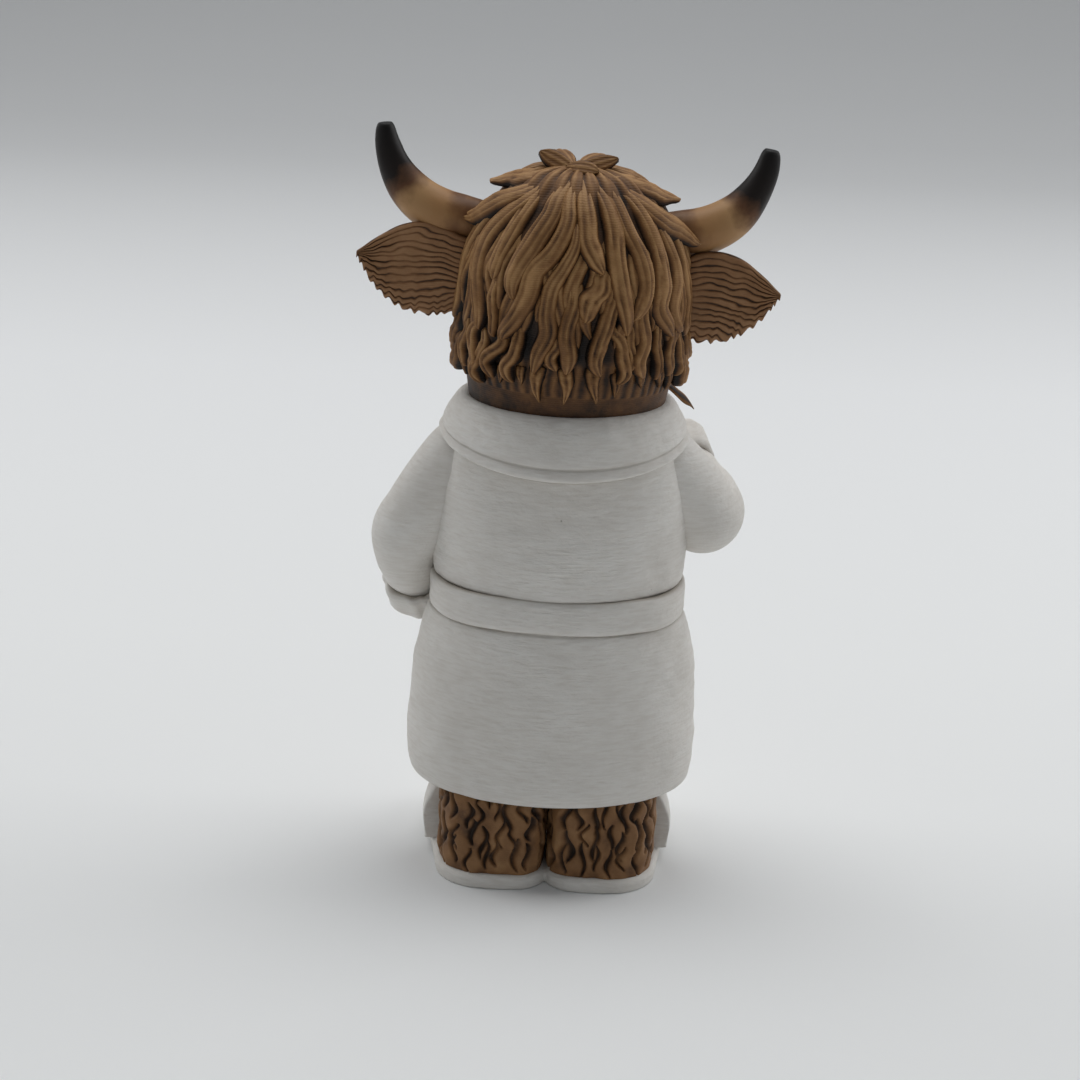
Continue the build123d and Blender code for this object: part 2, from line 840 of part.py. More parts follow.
def hair_lower():
    """The second layer, whose locks come out from under the first."""
    return lock_row(lower_locks, (-lower_turn_angle, lower_turn_angle), lower_fall_angles, lower_ragged_angle,
                    lock_width, lock_depth, lower_lock_shares, lift=lock_depth / 2, sway=lock_sway / 2,
                    phases=lower_phase_angles)


def hair_nape():
    """The row of short spikes over the neck."""
    return lock_row(nape_locks, (-nape_turn_angle, nape_turn_angle), nape_fall_angles, nape_ragged_angle,
                    nape_lock_width, nape_lock_depth, nape_lock_shares)


def hair_crown():
    """The tuft of small leaves at the whorl."""
    leaves = []
    for turn, end in crown_leaf_angles:
        leaves.append(lock(turn, crown_fall_angle, end, crown_leaf_width, crown_leaf_depth, leaf_shares,
                           lift=crown_lift))
    return Compound(children=leaves)


def hair_flick(side):
    """Two locks above a horn, whose ends flick outwards."""
    locks = []
    for turn, end in flick_lock_angles:
        locks.append(lock(side * turn, flick_fall_angle, end, lock_width, lock_depth, leaf_shares,
                          lift=flick_lift))
    return Compound(children=locks)


def hair_fringe():
    """The long fringe over the forehead."""
    return lock_row(fringe_locks, fringe_turn_angles, fringe_fall_angles, fringe_ragged_angle, lock_width,
                    lock_depth, long_lock_shares, lift=lock_depth / 2, sway=lock_sway,
                    phases=fringe_phase_angles)


def hair_cheek(side):
    """The hair on one side of the face: short below the ear, long in front of it."""
    locks = []
    for turn, start, end in cheek_lock_angles:
        locks.append(lock(side * turn, start, end, cheek_lock_width, cheek_lock_depth,
                          lower_lock_shares, lift=cheek_lock_depth / 2))
    return Compound(children=locks)


# The pieces, by name

def pieces():
    """Each separate piece of the figure and its name."""
    made = {}
    made["slipper_soles"] = soles()
    for name, make in (("slipper", slipper), ("leg", leg)):
        made[name + "_left"] = make()
        made[name + "_right"] = mirrored(make())
    made["robe_body"] = robe()
    made["robe_front_border"] = front_border()
    made["robe_pocket"] = pocket()
    made["belt"] = belt()
    made["belt_knot"] = belt_knot()
    made["belt_end_left"] = belt_end(-belt_end_lean_angle)
    made["belt_end_right"] = belt_end(belt_end_lean_angle)
    made["collar"] = collar()
    made["lapel_left"] = left_lapel()
    made["lapel_right"] = right_lapel()
    made["chest_fur"] = chest_fur()
    made["sleeve_left"] = left_sleeve()
    made["sleeve_right"] = right_sleeve()
    made["cuff_left"] = cuff(left_limb_point(-2), left_limb_point(-1), left_sleeve_radii[-1])
    made["cuff_right"] = cuff(right_limb_point(right_elbow_place), right_limb_point(right_wrist_place),
                              right_wrist_radius)
    made["hoof_right"] = hoof()
    made["head"] = tilted(skull() + neck(0))
    made["muzzle"] = tilted(muzzle())
    for side_name, side in (("_left", 1), ("_right", -1)):
        made["eye" + side_name] = tilted(on_side(eye(), side))
        made["horn" + side_name] = horn(side)
        made["ear" + side_name] = ear(side)
    made["hair_crown"] = tilted(hair_crown())
    made["hair_upper"] = tilted(hair_upper())
    made["hair_lower"] = tilted(hair_lower())
    made["hair_nape"] = tilted(hair_nape())
    made["hair_fringe"] = tilted(hair_fringe())
    made["hair_flick_left"] = tilted(hair_flick(1))
    made["hair_flick_right"] = tilted(hair_flick(-1))
    made["hair_cheek_left"] = tilted(hair_cheek(1))
    made["hair_cheek_right"] = tilted(hair_cheek(-1))
    return made


os.makedirs("parts", exist_ok=True)
for name, shape in pieces().items():
    export_step(shape, "parts/" + name + ".step")
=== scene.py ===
import math
import random

import bmesh
import bpy
from mathutils import Matrix, Quaternion, Vector, noise


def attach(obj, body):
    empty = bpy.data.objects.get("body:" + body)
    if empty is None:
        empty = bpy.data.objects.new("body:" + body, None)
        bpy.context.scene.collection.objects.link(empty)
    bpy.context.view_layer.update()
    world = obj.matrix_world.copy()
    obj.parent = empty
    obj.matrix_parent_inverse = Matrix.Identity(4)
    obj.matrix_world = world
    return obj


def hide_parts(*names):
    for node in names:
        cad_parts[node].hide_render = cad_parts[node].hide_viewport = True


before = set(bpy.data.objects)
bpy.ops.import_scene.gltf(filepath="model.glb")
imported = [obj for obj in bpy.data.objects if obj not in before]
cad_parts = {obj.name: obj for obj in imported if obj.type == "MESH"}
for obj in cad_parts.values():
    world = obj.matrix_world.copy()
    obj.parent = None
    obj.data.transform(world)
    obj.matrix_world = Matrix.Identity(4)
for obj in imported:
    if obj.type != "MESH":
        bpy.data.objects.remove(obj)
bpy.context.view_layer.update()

# Shapes are worked out in millimetres, and finished() makes them metres. The figure faces -Y, its left is +X.
MM = 0.001
SIDE_NAMES = {1: "left", -1: "right"}

# The head, as the solids have it, in millimetres: its middle, its half sizes over the hair and its squareness
HEAD_MIDDLE = Vector((0.0, 1.5, 94.0))
HEAD_HALF_WIDTH = 19.4
HEAD_HALF_DEPTH = 17.1
HEAD_RISE = 24.2
HEAD_DROP = 20.1
HEAD_SQUARENESS = 2.7
HAIR_DEPTH = 2.4
# How far the head leans to the figure's right, in degrees, and the height that it leans about
HEAD_LEAN = 1.6
NECK_HEIGHT = 79.0


# Small sums that many pieces share

def between(first, second, share):
    """The value a share of the way from the first to the second."""
    return first + (second - first) * share


def clamped(value):
    """A value kept from 0 to 1."""
    return min(max(value, 0.0), 1.0)


def eased(share):
    """0 to 1 with a soft start and a soft end."""
    share = clamped(share)
    return share * share * (3 - 2 * share)


def run_through(points, share):
    """A point on a smooth run through points, each a row of values."""
    place = clamped(share) * (len(points) - 1)
    index = min(int(place), len(points) - 2)
    t = place - index
    rows = [points[min(max(index + step, 0), len(points) - 1)] for step in (-1, 0, 1, 2)]
    return [0.5 * (2 * b + (c - a) * t + (2 * a - 5 * b + 4 * c - d) * t * t + (3 * b - a - 3 * c + d) * t ** 3)
            for a, b, c, d in zip(*rows)]


def graded(values, share):
    """A value on a smooth run through values."""
    return run_through([(value,) for value in values], share)[0]


def wobble(*place):
    """A smooth random value from -1 to 1 at a place, the same each run."""
    return noise.noise(Vector(place))


def tilted(point, angle=HEAD_LEAN, pivot=NECK_HEIGHT):
    """A point of the head, tilted towards the figure's right about a height."""
    centre = Vector((0.0, 0.0, pivot))
    return Matrix.Rotation(math.radians(-angle), 3, "Y") @ (point - centre) + centre


def cross_section(rows, run):
    """A tube's middle, its radius and the two ways across it, at a share of the run through rows of a place and a
    radius."""
    x, y, z, radius = run_through(rows, run)
    ahead = Vector(run_through(rows, run + 0.02)[:3]) - Vector(run_through(rows, run - 0.02)[:3])
    ahead = ahead.normalized()
    across = ahead.cross(Vector((0, 1, 0))).normalized()
    return Vector((x, y, z)), radius, across, across.cross(ahead)


# Making a piece

def finished(bm, name, material, replaced):
    """Turns a bmesh in millimetres into a piece that rides on the figure and stands for the replaced nodes."""
    bmesh.ops.scale(bm, vec=(MM, MM, MM), verts=bm.verts)
    bmesh.ops.recalc_face_normals(bm, faces=bm.faces)
    for face in bm.faces:
        face.smooth = True
    mesh = bpy.data.meshes.new(name)
    bm.to_mesh(mesh)
    bm.free()
    piece = bpy.data.objects.new(name, mesh)
    bpy.context.scene.collection.objects.link(piece)
    mesh.materials.append(material)
    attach(piece, "root")
    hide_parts(*replaced)
    return piece


def add_blob(bm, around, along, place):
    """Adds a closed form: a ball whose every corner is moved to place(share along, angle around), which gives
    a point and a paint mark from 0 to 1: how far the paint there lies on a ridge, low too where painted shade is laid
    on."""
    ridge = bm.verts.layers.float.get("ridge") or bm.verts.layers.float.new("ridge")
    old = set(bm.verts)
    bmesh.ops.create_uvsphere(bm, u_segments=around, v_segments=along, radius=1)
    for vert in bm.verts:
        if vert in old:
            continue
        share = math.acos(max(-1.0, min(1.0, vert.co.z))) / math.pi
        point, height = place(share, math.atan2(vert.co.y, vert.co.x))
        vert.co = point
        vert[ridge] = height


def blob(name, around, along, place, material, replaced):
    """One closed form as a piece of its own."""
    bm = bmesh.new()
    add_blob(bm, around, along, place)
    return finished(bm, name, material, replaced)


def spun_band(outline, radius, steps):
    """A band spun round the Z axis from its outline: rows of a reach past the radius, a height and a paint mark: how
    far the paint there lies on a ridge, low too where painted shade is laid on."""
    bm = bmesh.new()
    ridge = bm.verts.layers.float.new("ridge")
    row = []
    for reach, height, mark in outline:
        vert = bm.verts.new((radius + reach, 0, height))
        vert[ridge] = mark
        row.append(vert)
    edges = [bm.edges.new(pair) for pair in zip(row, row[1:] + row[:1])]
    bmesh.ops.spin(bm, geom=row + edges, cent=(0, 0, 0), axis=(0, 0, 1), angle=math.tau, steps=steps, use_merge=True)
    return bm


# Paints and finishes

def paint(code):
    """A hex colour as linear values."""
    values = [int(code[place:place + 2], 16) / 255 for place in (1, 3, 5)]
    return tuple(v / 12.92 if v <= 0.04045 else ((v + 0.055) / 1.055) ** 2.4 for v in values) + (1.0,)


def feed(tree, made, inputs):
    """Sets a node's values, and links what comes from other nodes."""
    for name, value in inputs.items():
        if isinstance(value, bpy.types.NodeSocket):
            tree.links.new(value, made.inputs[name])
        else:
            made.inputs[name].default_value = value


def node(tree, kind, inputs=None, stops=(), **settings):
    """Adds a shader node with its settings, its set values, its links and, for a colour ramp, its stops: rows of a
    place and a hex colour."""
    made = tree.nodes.new("ShaderNode" + kind)
    for name, value in settings.items():
        setattr(made, name, value)
    feed(tree, made, inputs or {})
    if stops:
        band = made.color_ramp.elements
        for index, (place, code) in ((0, stops[0]), (1, stops[-1])):
            band[index].position, band[index].color = place, paint(code)
        for place, code in stops[1:-1]:
            band.new(place).color = paint(code)
    return made


def new_material(name, roughness, specular=0.5):
    """A material with its shader and the object's own coordinates."""
    material = bpy.data.materials.new(name)
    material.use_nodes = True
    tree = material.node_tree
    shader = tree.nodes["Principled BSDF"]
    feed(tree, shader, {"Roughness": roughness, "Specular IOR Level": specular})
    where = node(tree, "TexCoord").outputs["Object"]
    return material, tree, shader, where


def matte_white_brushed():
    """White acrylic brushed by hand over cast resin. The eye sees a matte, chalky coat, greyed by painted shade in the
    folds: the creases by the belt, the belt's edges, the collar's underside and inner face, and the inside of the
    cuffs.
    Level brush strokes come and go in patches 11 mm across, over small lumps under the paint, 1.6 to 2.4 mm across.
    The strokes are drawn 0.4 mm apart and the few casting pinholes 0.3 mm wide, which is what the photograph gives for
    a figure of this height."""
    material, tree, shader, where = new_material("white_acrylic_brushed_on_resin", 0.6, 0.3)
    ridge = node(tree, "Attribute", attribute_name="ridge").outputs["Fac"]
    level_places = node(tree, "Mapping", {"Vector": where, "Scale": (330, 330, 2300)}).outputs["Vector"]
    strokes = node(tree, "TexNoise", {"Vector": level_places, "Scale": 1.0, "Detail": 3.0,
                   "Roughness": 0.6}).outputs["Fac"]
    lump_places = node(tree, "Mapping", {"Vector": where, "Scale": (420, 420, 620)}).outputs["Vector"]
    lumps = node(tree, "TexNoise", {"Vector": lump_places, "Scale": 1.0, "Detail": 3.0,
                 "Roughness": 0.6}).outputs["Fac"]
    patches = node(tree, "TexNoise", {"Vector": where, "Scale": 90.0, "Detail": 3.0}).outputs["Fac"]
    cells = node(tree, "TexVoronoi", {"Vector": where, "Scale": 330.0})
    near = node(tree, "MapRange", {"Value": cells.outputs["Distance"], "From Min": 0.04,
                "From Max": 0.07, "To Min": 0.7, "To Max": 0.0}).outputs["Result"]
    few = node(tree, "SeparateColor", {"Color": cells.outputs["Color"]}).outputs["Red"]
    few = node(tree, "Math", {0: few, 1: 0.95}, operation="GREATER_THAN").outputs["Value"]
    holes = node(tree, "Math", {0: near, 1: few}, operation="MULTIPLY").outputs["Value"]
    tone = node(tree, "ValToRGB", {"Fac": patches}, ((0.3, "#d8d4ce"), (0.7, "#e2dfda"))).outputs["Color"]
    streaks = node(tree, "ValToRGB", {"Fac": strokes}, ((0.3, "#f5f3f1"), (0.6, "#ffffff"))).outputs["Color"]
    # Low marks turn the white grey: painted shade in the creases by the belt, along the belt's edges, under and inside
    # the collar and inside the cuffs
    fold_shade = node(tree, "ValToRGB", {"Fac": ridge},
                 ((0.0, "#8f857b"), (0.35, "#d0cbc5"), (0.75, "#ffffff"))).outputs["Color"]
    mixed = node(tree, "Mix", {0: 1.0, 6: tone, 7: fold_shade}, data_type="RGBA", blend_type="MULTIPLY")
    mixed = node(tree, "Mix", {0: 1.0, 6: mixed.outputs[2], 7: streaks}, data_type="RGBA",
                 blend_type="MULTIPLY")
    coloured = node(tree, "Mix", {0: holes, 6: mixed.outputs[2], 7: paint("#7d746b")}, data_type="RGBA")
    worked = node(tree, "MapRange", {"Value": patches, "From Min": 0.4, "From Max": 0.6,
                  "To Min": 0.25, "To Max": 1.0}).outputs["Result"]
    raised = node(tree, "Math", {0: strokes, 1: worked}, operation="MULTIPLY").outputs["Value"]
    heights = node(tree, "Math", {0: raised, 1: 0.9, 2: lumps}, operation="MULTIPLY_ADD").outputs["Value"]
    pitted = node(tree, "Math", {0: holes, 1: -1.0, 2: heights}, operation="MULTIPLY_ADD").outputs["Value"]
    bump = node(tree, "Bump", {"Height": pitted, "Distance": 0.3 * MM, "Strength": 0.75})
    feed(tree, shader, {"Base Color": coloured.outputs[2], "Normal": bump.outputs["Normal"]})
    return material


def brown_coat(name, stops, level_lines=0.3):
    """Brown acrylic over carved resin. The eye sees a dark wash left in the grooves and a lighter dry brush caught
    on the ridges, broken by blotches 2.4 mm across and by slower changes of tone 9 mm across. The fine level lines
    across the hair are drawn 0.35 mm apart, so that they show."""
    material, tree, shader, where = new_material(name, 0.62, 0.35)
    ridge = node(tree, "Attribute", attribute_name="ridge").outputs["Fac"]
    blotches = node(tree, "TexNoise", {"Vector": where, "Scale": 420.0, "Detail": 4.0,
                    "Roughness": 0.65}).outputs["Fac"]
    wash = node(tree, "TexNoise", {"Vector": where, "Scale": 110.0, "Detail": 3.0}).outputs["Fac"]
    blotch_shift = node(tree, "MapRange", {"Value": blotches, "From Min": 0.25, "From Max": 0.75,
                        "To Min": -0.14, "To Max": 0.14}).outputs["Result"]
    wash_shift = node(tree, "MapRange", {"Value": wash, "From Min": 0.3, "From Max": 0.7,
                      "To Min": -0.1, "To Max": 0.1}).outputs["Result"]
    level = node(tree, "Math", {0: ridge, 1: blotch_shift}, operation="ADD").outputs["Value"]
    level = node(tree, "Math", {0: level, 1: wash_shift}, operation="ADD").outputs["Value"]
    tone = node(tree, "ValToRGB", {"Fac": level}, stops).outputs["Color"]
    lines = node(tree, "TexWave", {"Vector": where, "Scale": 900.0, "Distortion": 1.5, "Detail": 1.0},
                 bands_direction="Z").outputs["Fac"]
    heights = node(tree, "Math", {0: lines, 1: level_lines, 2: blotches},
                   operation="MULTIPLY_ADD").outputs["Value"]
    bump = node(tree, "Bump", {"Height": heights, "Distance": 0.14 * MM, "Strength": 0.6})
    feed(tree, shader, {"Base Color": tone, "Normal": bump.outputs["Normal"]})
    return material


def satin_horn():
    """Satin acrylic airbrushed over cast resin. The eye sees it run softly from tan at the root through brown to
    black at the tip, with a low sheen and shallow blotches 3.8 mm across."""
    material, tree, shader, where = new_material("satin_acrylic_airbrushed_horn", 0.48, 0.25)
    ridge = node(tree, "Attribute", attribute_name="ridge").outputs["Fac"]
    blotches = node(tree, "TexNoise", {"Vector": where, "Scale": 260.0, "Detail": 4.0}).outputs["Fac"]
    shift = node(tree, "MapRange", {"Value": blotches, "From Min": 0.25, "From Max": 0.75,
                 "To Min": -0.07, "To Max": 0.07}).outputs["Result"]
    level = node(tree, "Math", {0: ridge, 1: shift}, operation="ADD").outputs["Value"]
    tone = node(tree, "ValToRGB", {"Fac": level},
                ((0.0, "#6a4628"), (0.14, "#a37a50"), (0.36, "#ad875d"), (0.5, "#5f402a"), (0.6, "#1a120f"),
                 (1.0, "#080606"))).outputs["Color"]
    bump = node(tree, "Bump", {"Height": blotches, "Distance": 0.3 * MM, "Strength": 0.5})
    feed(tree, shader, {"Base Color": tone, "Normal": bump.outputs["Normal"]})
    return material


def smooth_paint(name, dark, light, roughness, depth=0.06 * MM):
    """Acrylic brushed over cast resin between two close tones. The eye sees a plain coat with a faint grain 1.4 mm
    across, and the sheen that its roughness gives: wet on the varnished eyes, satin on the hoof, dull on the
    muzzle."""
    material, tree, shader, where = new_material(name, roughness)
    ridge = node(tree, "Attribute", attribute_name="ridge").outputs["Fac"]
    grain = node(tree, "TexNoise", {"Vector": where, "Scale": 700.0, "Detail": 4.0}).outputs["Fac"]
    level = node(tree, "Math", {0: grain, 1: ridge}, operation="MULTIPLY").outputs["Value"]
    tone = node(tree, "ValToRGB", {"Fac": level}, ((0.05, dark), (0.6, light))).outputs["Color"]
    bump = node(tree, "Bump", {"Height": grain, "Distance": depth, "Strength": 0.5})
    feed(tree, shader, {"Base Color": tone, "Normal": bump.outputs["Normal"]})
    return material


WHITE = matte_white_brushed()
HAIR = brown_coat("brown_acrylic_dry_brushed_hair",
                  ((0.0, "#0f0905"), (0.22, "#29190c"), (0.45, "#5d3d20"), (0.72, "#815a32"), (1.0, "#ab8254")))
EAR = brown_coat("brown_acrylic_dry_brushed_ear",
                 ((0.0, "#1d120a"), (0.3, "#432b18"), (0.6, "#7c5634"), (1.0, "#9a7350")), 0.15)
LEG = brown_coat("brown_acrylic_washed_leg_coat",
                 ((0.0, "#20140b"), (0.22, "#3f2917"), (0.5, "#7a5634"), (0.8, "#8f6a45"), (1.0, "#a17c54")), 0.1)
HORN = satin_horn()
HOOF = smooth_paint("dark_satin_acrylic_hoof", "#120d0a", "#33261c", 0.38)
MUZZLE = smooth_paint("dusty_pink_acrylic_muzzle", "#6b4638", "#ab806c", 0.5)
EYE = smooth_paint("gloss_varnish_on_black_acrylic_eye", "#060505", "#16110e", 0.12, 0.0)


# Robe. Each row is a level: its height, half width and half depth in millimetres.

ROBE_LEVELS = ((19.8, 2.0, 1.5), (19.8, 14.0, 10.0), (19.8, 21.6, 15.0), (17.6, 22.3, 15.7), (16.0, 22.7, 16.2),
               (15.75, 23.0, 16.8), (16.6, 23.65, 17.4), (19.0, 24.0, 17.75), (24.0, 24.1, 17.8),
               (31.0, 23.95, 17.7), (37.0, 23.35, 17.25), (41.5, 22.4, 16.7), (44.7, 21.35, 16.2), (45.9, 20.3, 15.6),
               (50.4, 20.1, 15.4), (51.5, 20.55, 15.85), (55.5, 20.8, 16.35), (60.0, 20.85, 16.65),
               (66.0, 20.8, 16.8), (72.0, 19.6, 16.6), (76.0, 17.8, 15.9), (78.4, 16.4, 15.4), (79.0, 15.2, 14.4),
               (79.0, 8.0, 7.6), (79.0, 1.0, 1.0))


def robe_cloth(share, angle):
    """The robe's cloth, with the shallow dents of a hand-carved master, which fade out at the hem, and with painted
    shade in the creases above and below the belt."""
    height, half_width, half_depth = run_through(ROBE_LEVELS, 1 - share)
    x, y = half_width * math.cos(angle), half_depth * math.sin(angle)
    dent = 0.3 * wobble(x * 0.09, y * 0.09, height * 0.11) + 0.16 * wobble(x * 0.25, y * 0.25, height * 0.4 + 7)
    dent += 0.05 * wobble(x * 0.7, y * 0.7, height * 2.1)
    inside = eased((height - 16.2) / 2.5) if share < 0.79 else 0.0
    grow = 1 + dent * inside / 20
    hem_wave = 0.16 * wobble(3 * math.cos(angle), 3 * math.sin(angle), 4.0) if height < 17.5 and share > 0.7 else 0.0
    # Painted shade in the creases just above and below the belt
    belt_crease_shade = math.exp(-((height - 45.2) / 0.5) ** 2) + math.exp(-((height - 51.1) / 0.4) ** 2)
    return Vector((x * grow, y * grow, height + hem_wave)), 1.0 - 0.35 * min(belt_crease_shade, 1.0)


blob("robe_body_cloth", 220, 210, robe_cloth, WHITE, ("robe_body",))


# Belt: a flat band with soft edges, spun round the waist. Each row is a reach, a height and a paint mark, low at the
# edges where the band meets the robe, which is painted shade.

BELT_SECTION = ((19.5, 45.45, 0.2), (20.5, 45.35, 0.35), (21.0, 45.75, 0.9), (21.15, 46.6, 1.0), (21.1, 48.3, 1.0),
                (21.15, 49.9, 1.0), (21.0, 50.65, 0.9), (20.5, 51.0, 0.45), (19.5, 50.95, 0.2))
# How much less the waist reaches out in front and behind than at the sides
WAIST_FLATTENING = 4.8


def belt_band():
    """The belt, dented a little and flattened in front and behind as the waist is."""
    bm = spun_band(BELT_SECTION, 0.0, 144)
    for vert in bm.verts:
        reach = math.hypot(vert.co.x, vert.co.y)
        inward = WAIST_FLATTENING * abs(vert.co.y / reach)
        vert.co.z += 0.22 * wobble(vert.co.x * 0.12, vert.co.y * 0.12, 2.0)
        dent = 0.12 * wobble(vert.co.x * 0.2, vert.co.y * 0.2, vert.co.z * 0.5)
        vert.co.x, vert.co.y = vert.co.x * (reach + dent) / reach, vert.co.y * (reach + dent - inward) / reach
    return finished(bm, "belt_band", WHITE, ("belt",))


belt_band()


# Shawl collar: a turned-down sheet from one side of the throat round the back to the other. Its section is rows of a
# reach past the neck and a rise over the neck's height, and its turns are in degrees from the back.

COLLAR_SECTION = ((-1.0, -6.0), (-0.6, -3.0), (-0.9, 0.6), (-0.7, 1.9), (0.1, 2.45), (1.2, 2.2), (2.3, 1.1),
                  (3.2, -0.6), (3.75, -2.8), (3.95, -4.5), (3.7, -5.4), (4.4, -6.1), (4.5, -6.8), (3.9, -7.4),
                  (2.6, -7.1), (1.2, -6.6), (0.2, -6.4))
COLLAR_HALF_WIDTH, COLLAR_HALF_DEPTH, COLLAR_END = 15.9, 15.3, 152


def collar_fold(share, angle):
    """The collar: share runs round the neck from one front end to the other."""
    turn = between(-COLLAR_END, COLLAR_END, share)
    across, rise = run_through(COLLAR_SECTION + COLLAR_SECTION[:1], (angle / math.tau) % 1.0)
    side = abs(math.sin(math.radians(turn)))
    back = max(math.cos(math.radians(turn)), 0.0)
    end = eased(min(share, 1 - share) / 0.04)
    drop = between(3.6, 7.0, back ** 1.3) / 7.0
    rise = rise * drop if rise < 0 else rise
    across = across * between(0.84, 1.0, side)
    across, rise = across * end + 1.2 * (1 - end), rise * end - 0.5 * (1 - end)
    half_width, half_depth = COLLAR_HALF_WIDTH + across, COLLAR_HALF_DEPTH + across
    wave = 0.2 * wobble(turn * 0.04, rise * 0.25, 5.0) + 0.1 * wobble(turn * 0.2, rise * 0.5, 2.0)
    point = Vector(((half_width + wave) * math.sin(math.radians(turn)),
                    (half_depth + wave) * math.cos(math.radians(turn)), NECK_HEIGHT + rise))
    # The collar's inner face and underside, and the groove above its rim, are painted darker: painted shade
    groove = math.exp(-((rise / drop + 5.3) / 0.35) ** 2) if across > 3 else 0.0
    mark = (1.0 if across > -0.2 and rise > -7.1 * drop else 0.35) - 0.5 * groove
    return point, mark


blob("collar_fold", 90, 200, collar_fold, WHITE, ("collar",))


# Sleeves and cuffs

def sleeve(name, places, radii, node_name, wrinkles):
    """A sleeve: a round tube through places, closed and rounded at both ends, wrinkled near its cuff."""
    rows = [tuple(place) + (radius,) for place, radius in zip(places, radii)]

    def skin(share, angle):
        run = clamped((share - 0.04) / 0.92)
        middle, radius, across, up = cross_section(rows, run)
        end = math.sqrt(clamped(min(share, 1 - share) / 0.04))
        fold = wrinkles * math.sin(run * 46 + 3 * math.sin(angle)) * eased((run - 0.62) / 0.3)
        radius = (radius + fold + 0.18 * wobble(run * 5, math.cos(angle), math.sin(angle))) * end
        return middle + across * (radius * math.cos(angle)) + up * (radius * math.sin(angle)), 1.0

    return blob(name, 72, 110, skin, WHITE, (node_name,))


sleeve("sleeve_left_cloth",
       ((14.0, 1.0, 71.6), (16.2, 1.0, 70.0), (19.8, 0.9, 65.4), (22.8, 0.2, 60.4), (25.0, -1.2, 56.2),
        (24.9, -4.2, 51.2), (24.2, -6.8, 48.0), (23.2, -9.6, 44.9)),
       (6.0, 6.6, 6.5, 6.3, 6.1, 5.5, 5.0, 4.6), "sleeve_left", 0.16)
sleeve("sleeve_right_cloth",
       ((-14.0, 1.0, 71.6), (-16.0, 0.8, 70.2), (-20.4, -1.0, 65.2), (-23.2, -2.8, 61.4), (-24.2, -5.4, 61.2),
        (-23.4, -7.8, 62.8), (-21.2, -10.6, 65.4), (-18.7, -13.6, 68.2)),
       (6.0, 6.6, 6.8, 6.6, 6.4, 6.0, 5.3, 4.7), "sleeve_right", 0.14)


# A cuff's section: rows of a reach past the sleeve's end, a height along the sleeve and a paint mark, low on the side
# that lies against the sleeve, which is painted shade.
CUFF_SECTION = ((0.15, 0.2, 0.3), (0.9, 0.0, 0.6), (1.45, 0.35, 1.0), (1.55, 1.2, 1.0), (1.5, 2.8, 1.0),
                (1.75, 4.4, 1.0), (1.6, 5.1, 0.9), (1.0, 5.35, 0.8), (0.45, 5.0, 0.5), (0.3, 3.6, 0.3),
                (0.15, 1.6, 0.3))


def cuff(name, low, run, radius, node_name, pleats):
    """A turned-back cuff: a puckered band round the end of a sleeve, open at the end, from its low end's middle
    along its run."""
    bm = spun_band(CUFF_SECTION, radius, 120)
    for vert in bm.verts:
        round_it = math.atan2(vert.co.y, vert.co.x)
        pucker = math.sin(11 * round_it + 2 * math.sin(3 * round_it)) * pleats
        vert.co.z += 0.5 * wobble(vert.co.x * 0.2, vert.co.y * 0.2, 9.0)
        vert.co.xy *= 1 + 0.035 * wobble(vert.co.x * 0.3, vert.co.y * 0.3, vert.co.z * 0.5) + pucker
    turn = Vector(run).normalized().to_track_quat("Z", "Y").to_matrix().to_4x4()
    bmesh.ops.transform(bm, matrix=Matrix.Translation(low) @ turn, verts=bm.verts)
    return finished(bm, name, WHITE, (node_name,))


cuff("cuff_left_band", (23.7, -6.8, 47.7), (-1.5, -4.6, -5.2), 4.7, "cuff_left", 0.028)
cuff("cuff_right_band", (-19.8, -11.5, 66.5), (5.2, -10.8, 7.4), 4.8, "cuff_right", 0.008)


# Slippers and legs. Each level of a slipper's toe cap is a height and a share of its size.

CAP_LEVELS = ((14.4, 0.0), (14.3, 0.3), (13.4, 0.64), (11.6, 0.83), (9.2, 0.94), (6.8, 1.0), (4.4, 0.985),
              (2.9, 0.95), (2.3, 0.88), (2.3, 0.0))
CAP_MIDDLE, CAP_HALF_WIDTH, CAP_HALF_DEPTH, CAP_BACK = (11.3, -3.55), 10.05, 20.4, 1.5
LEG_MIDDLE, LEG_HALF_WIDTH, LEG_HALF_DEPTH, LEG_TOP, LEG_FOOT = (9.2, 2.9), 9.15, 12.1, 19.6, 2.3
GROOVE_DEPTH = 0.9


def slipper_cap(side):
    """A slipper's round toe cap, cut flat behind, where the leg stands."""
    def skin(share, angle):
        rise, size = run_through(CAP_LEVELS, share)
        y = CAP_MIDDLE[1] + CAP_HALF_DEPTH * size * math.sin(angle)
        x = side * CAP_MIDDLE[0] + CAP_HALF_WIDTH * size * math.cos(angle)
        return Vector((x, min(y, CAP_BACK), rise)), 1.0

    name = SIDE_NAMES[side]
    return blob("slipper_cap_" + name, 72, 56, skin, WHITE, ("slipper_" + name,))


def leg_grooves(side):
    """Short wavy grooves in rows round a leg, the same each run: each is a start in degrees round and a height, a
    length, a sway in degrees, a width and where its waves begin."""
    random.seed(21 + side)
    grooves = []
    for row, (top, count) in enumerate(((19.9, 26), (15.6, 25), (11.4, 26), (7.6, 24))):
        for index in range(count):
            grooves.append((360 * (index + 0.5 * (row % 2)) / count + random.uniform(-4, 4),
                            top + random.uniform(-1.1, 1.1), random.uniform(3.4, 5.6),
                            random.uniform(2.2, 4.4) * random.choice((-1, 1)), random.uniform(0.36, 0.62),
                            random.uniform(0, 6)))
    return grooves


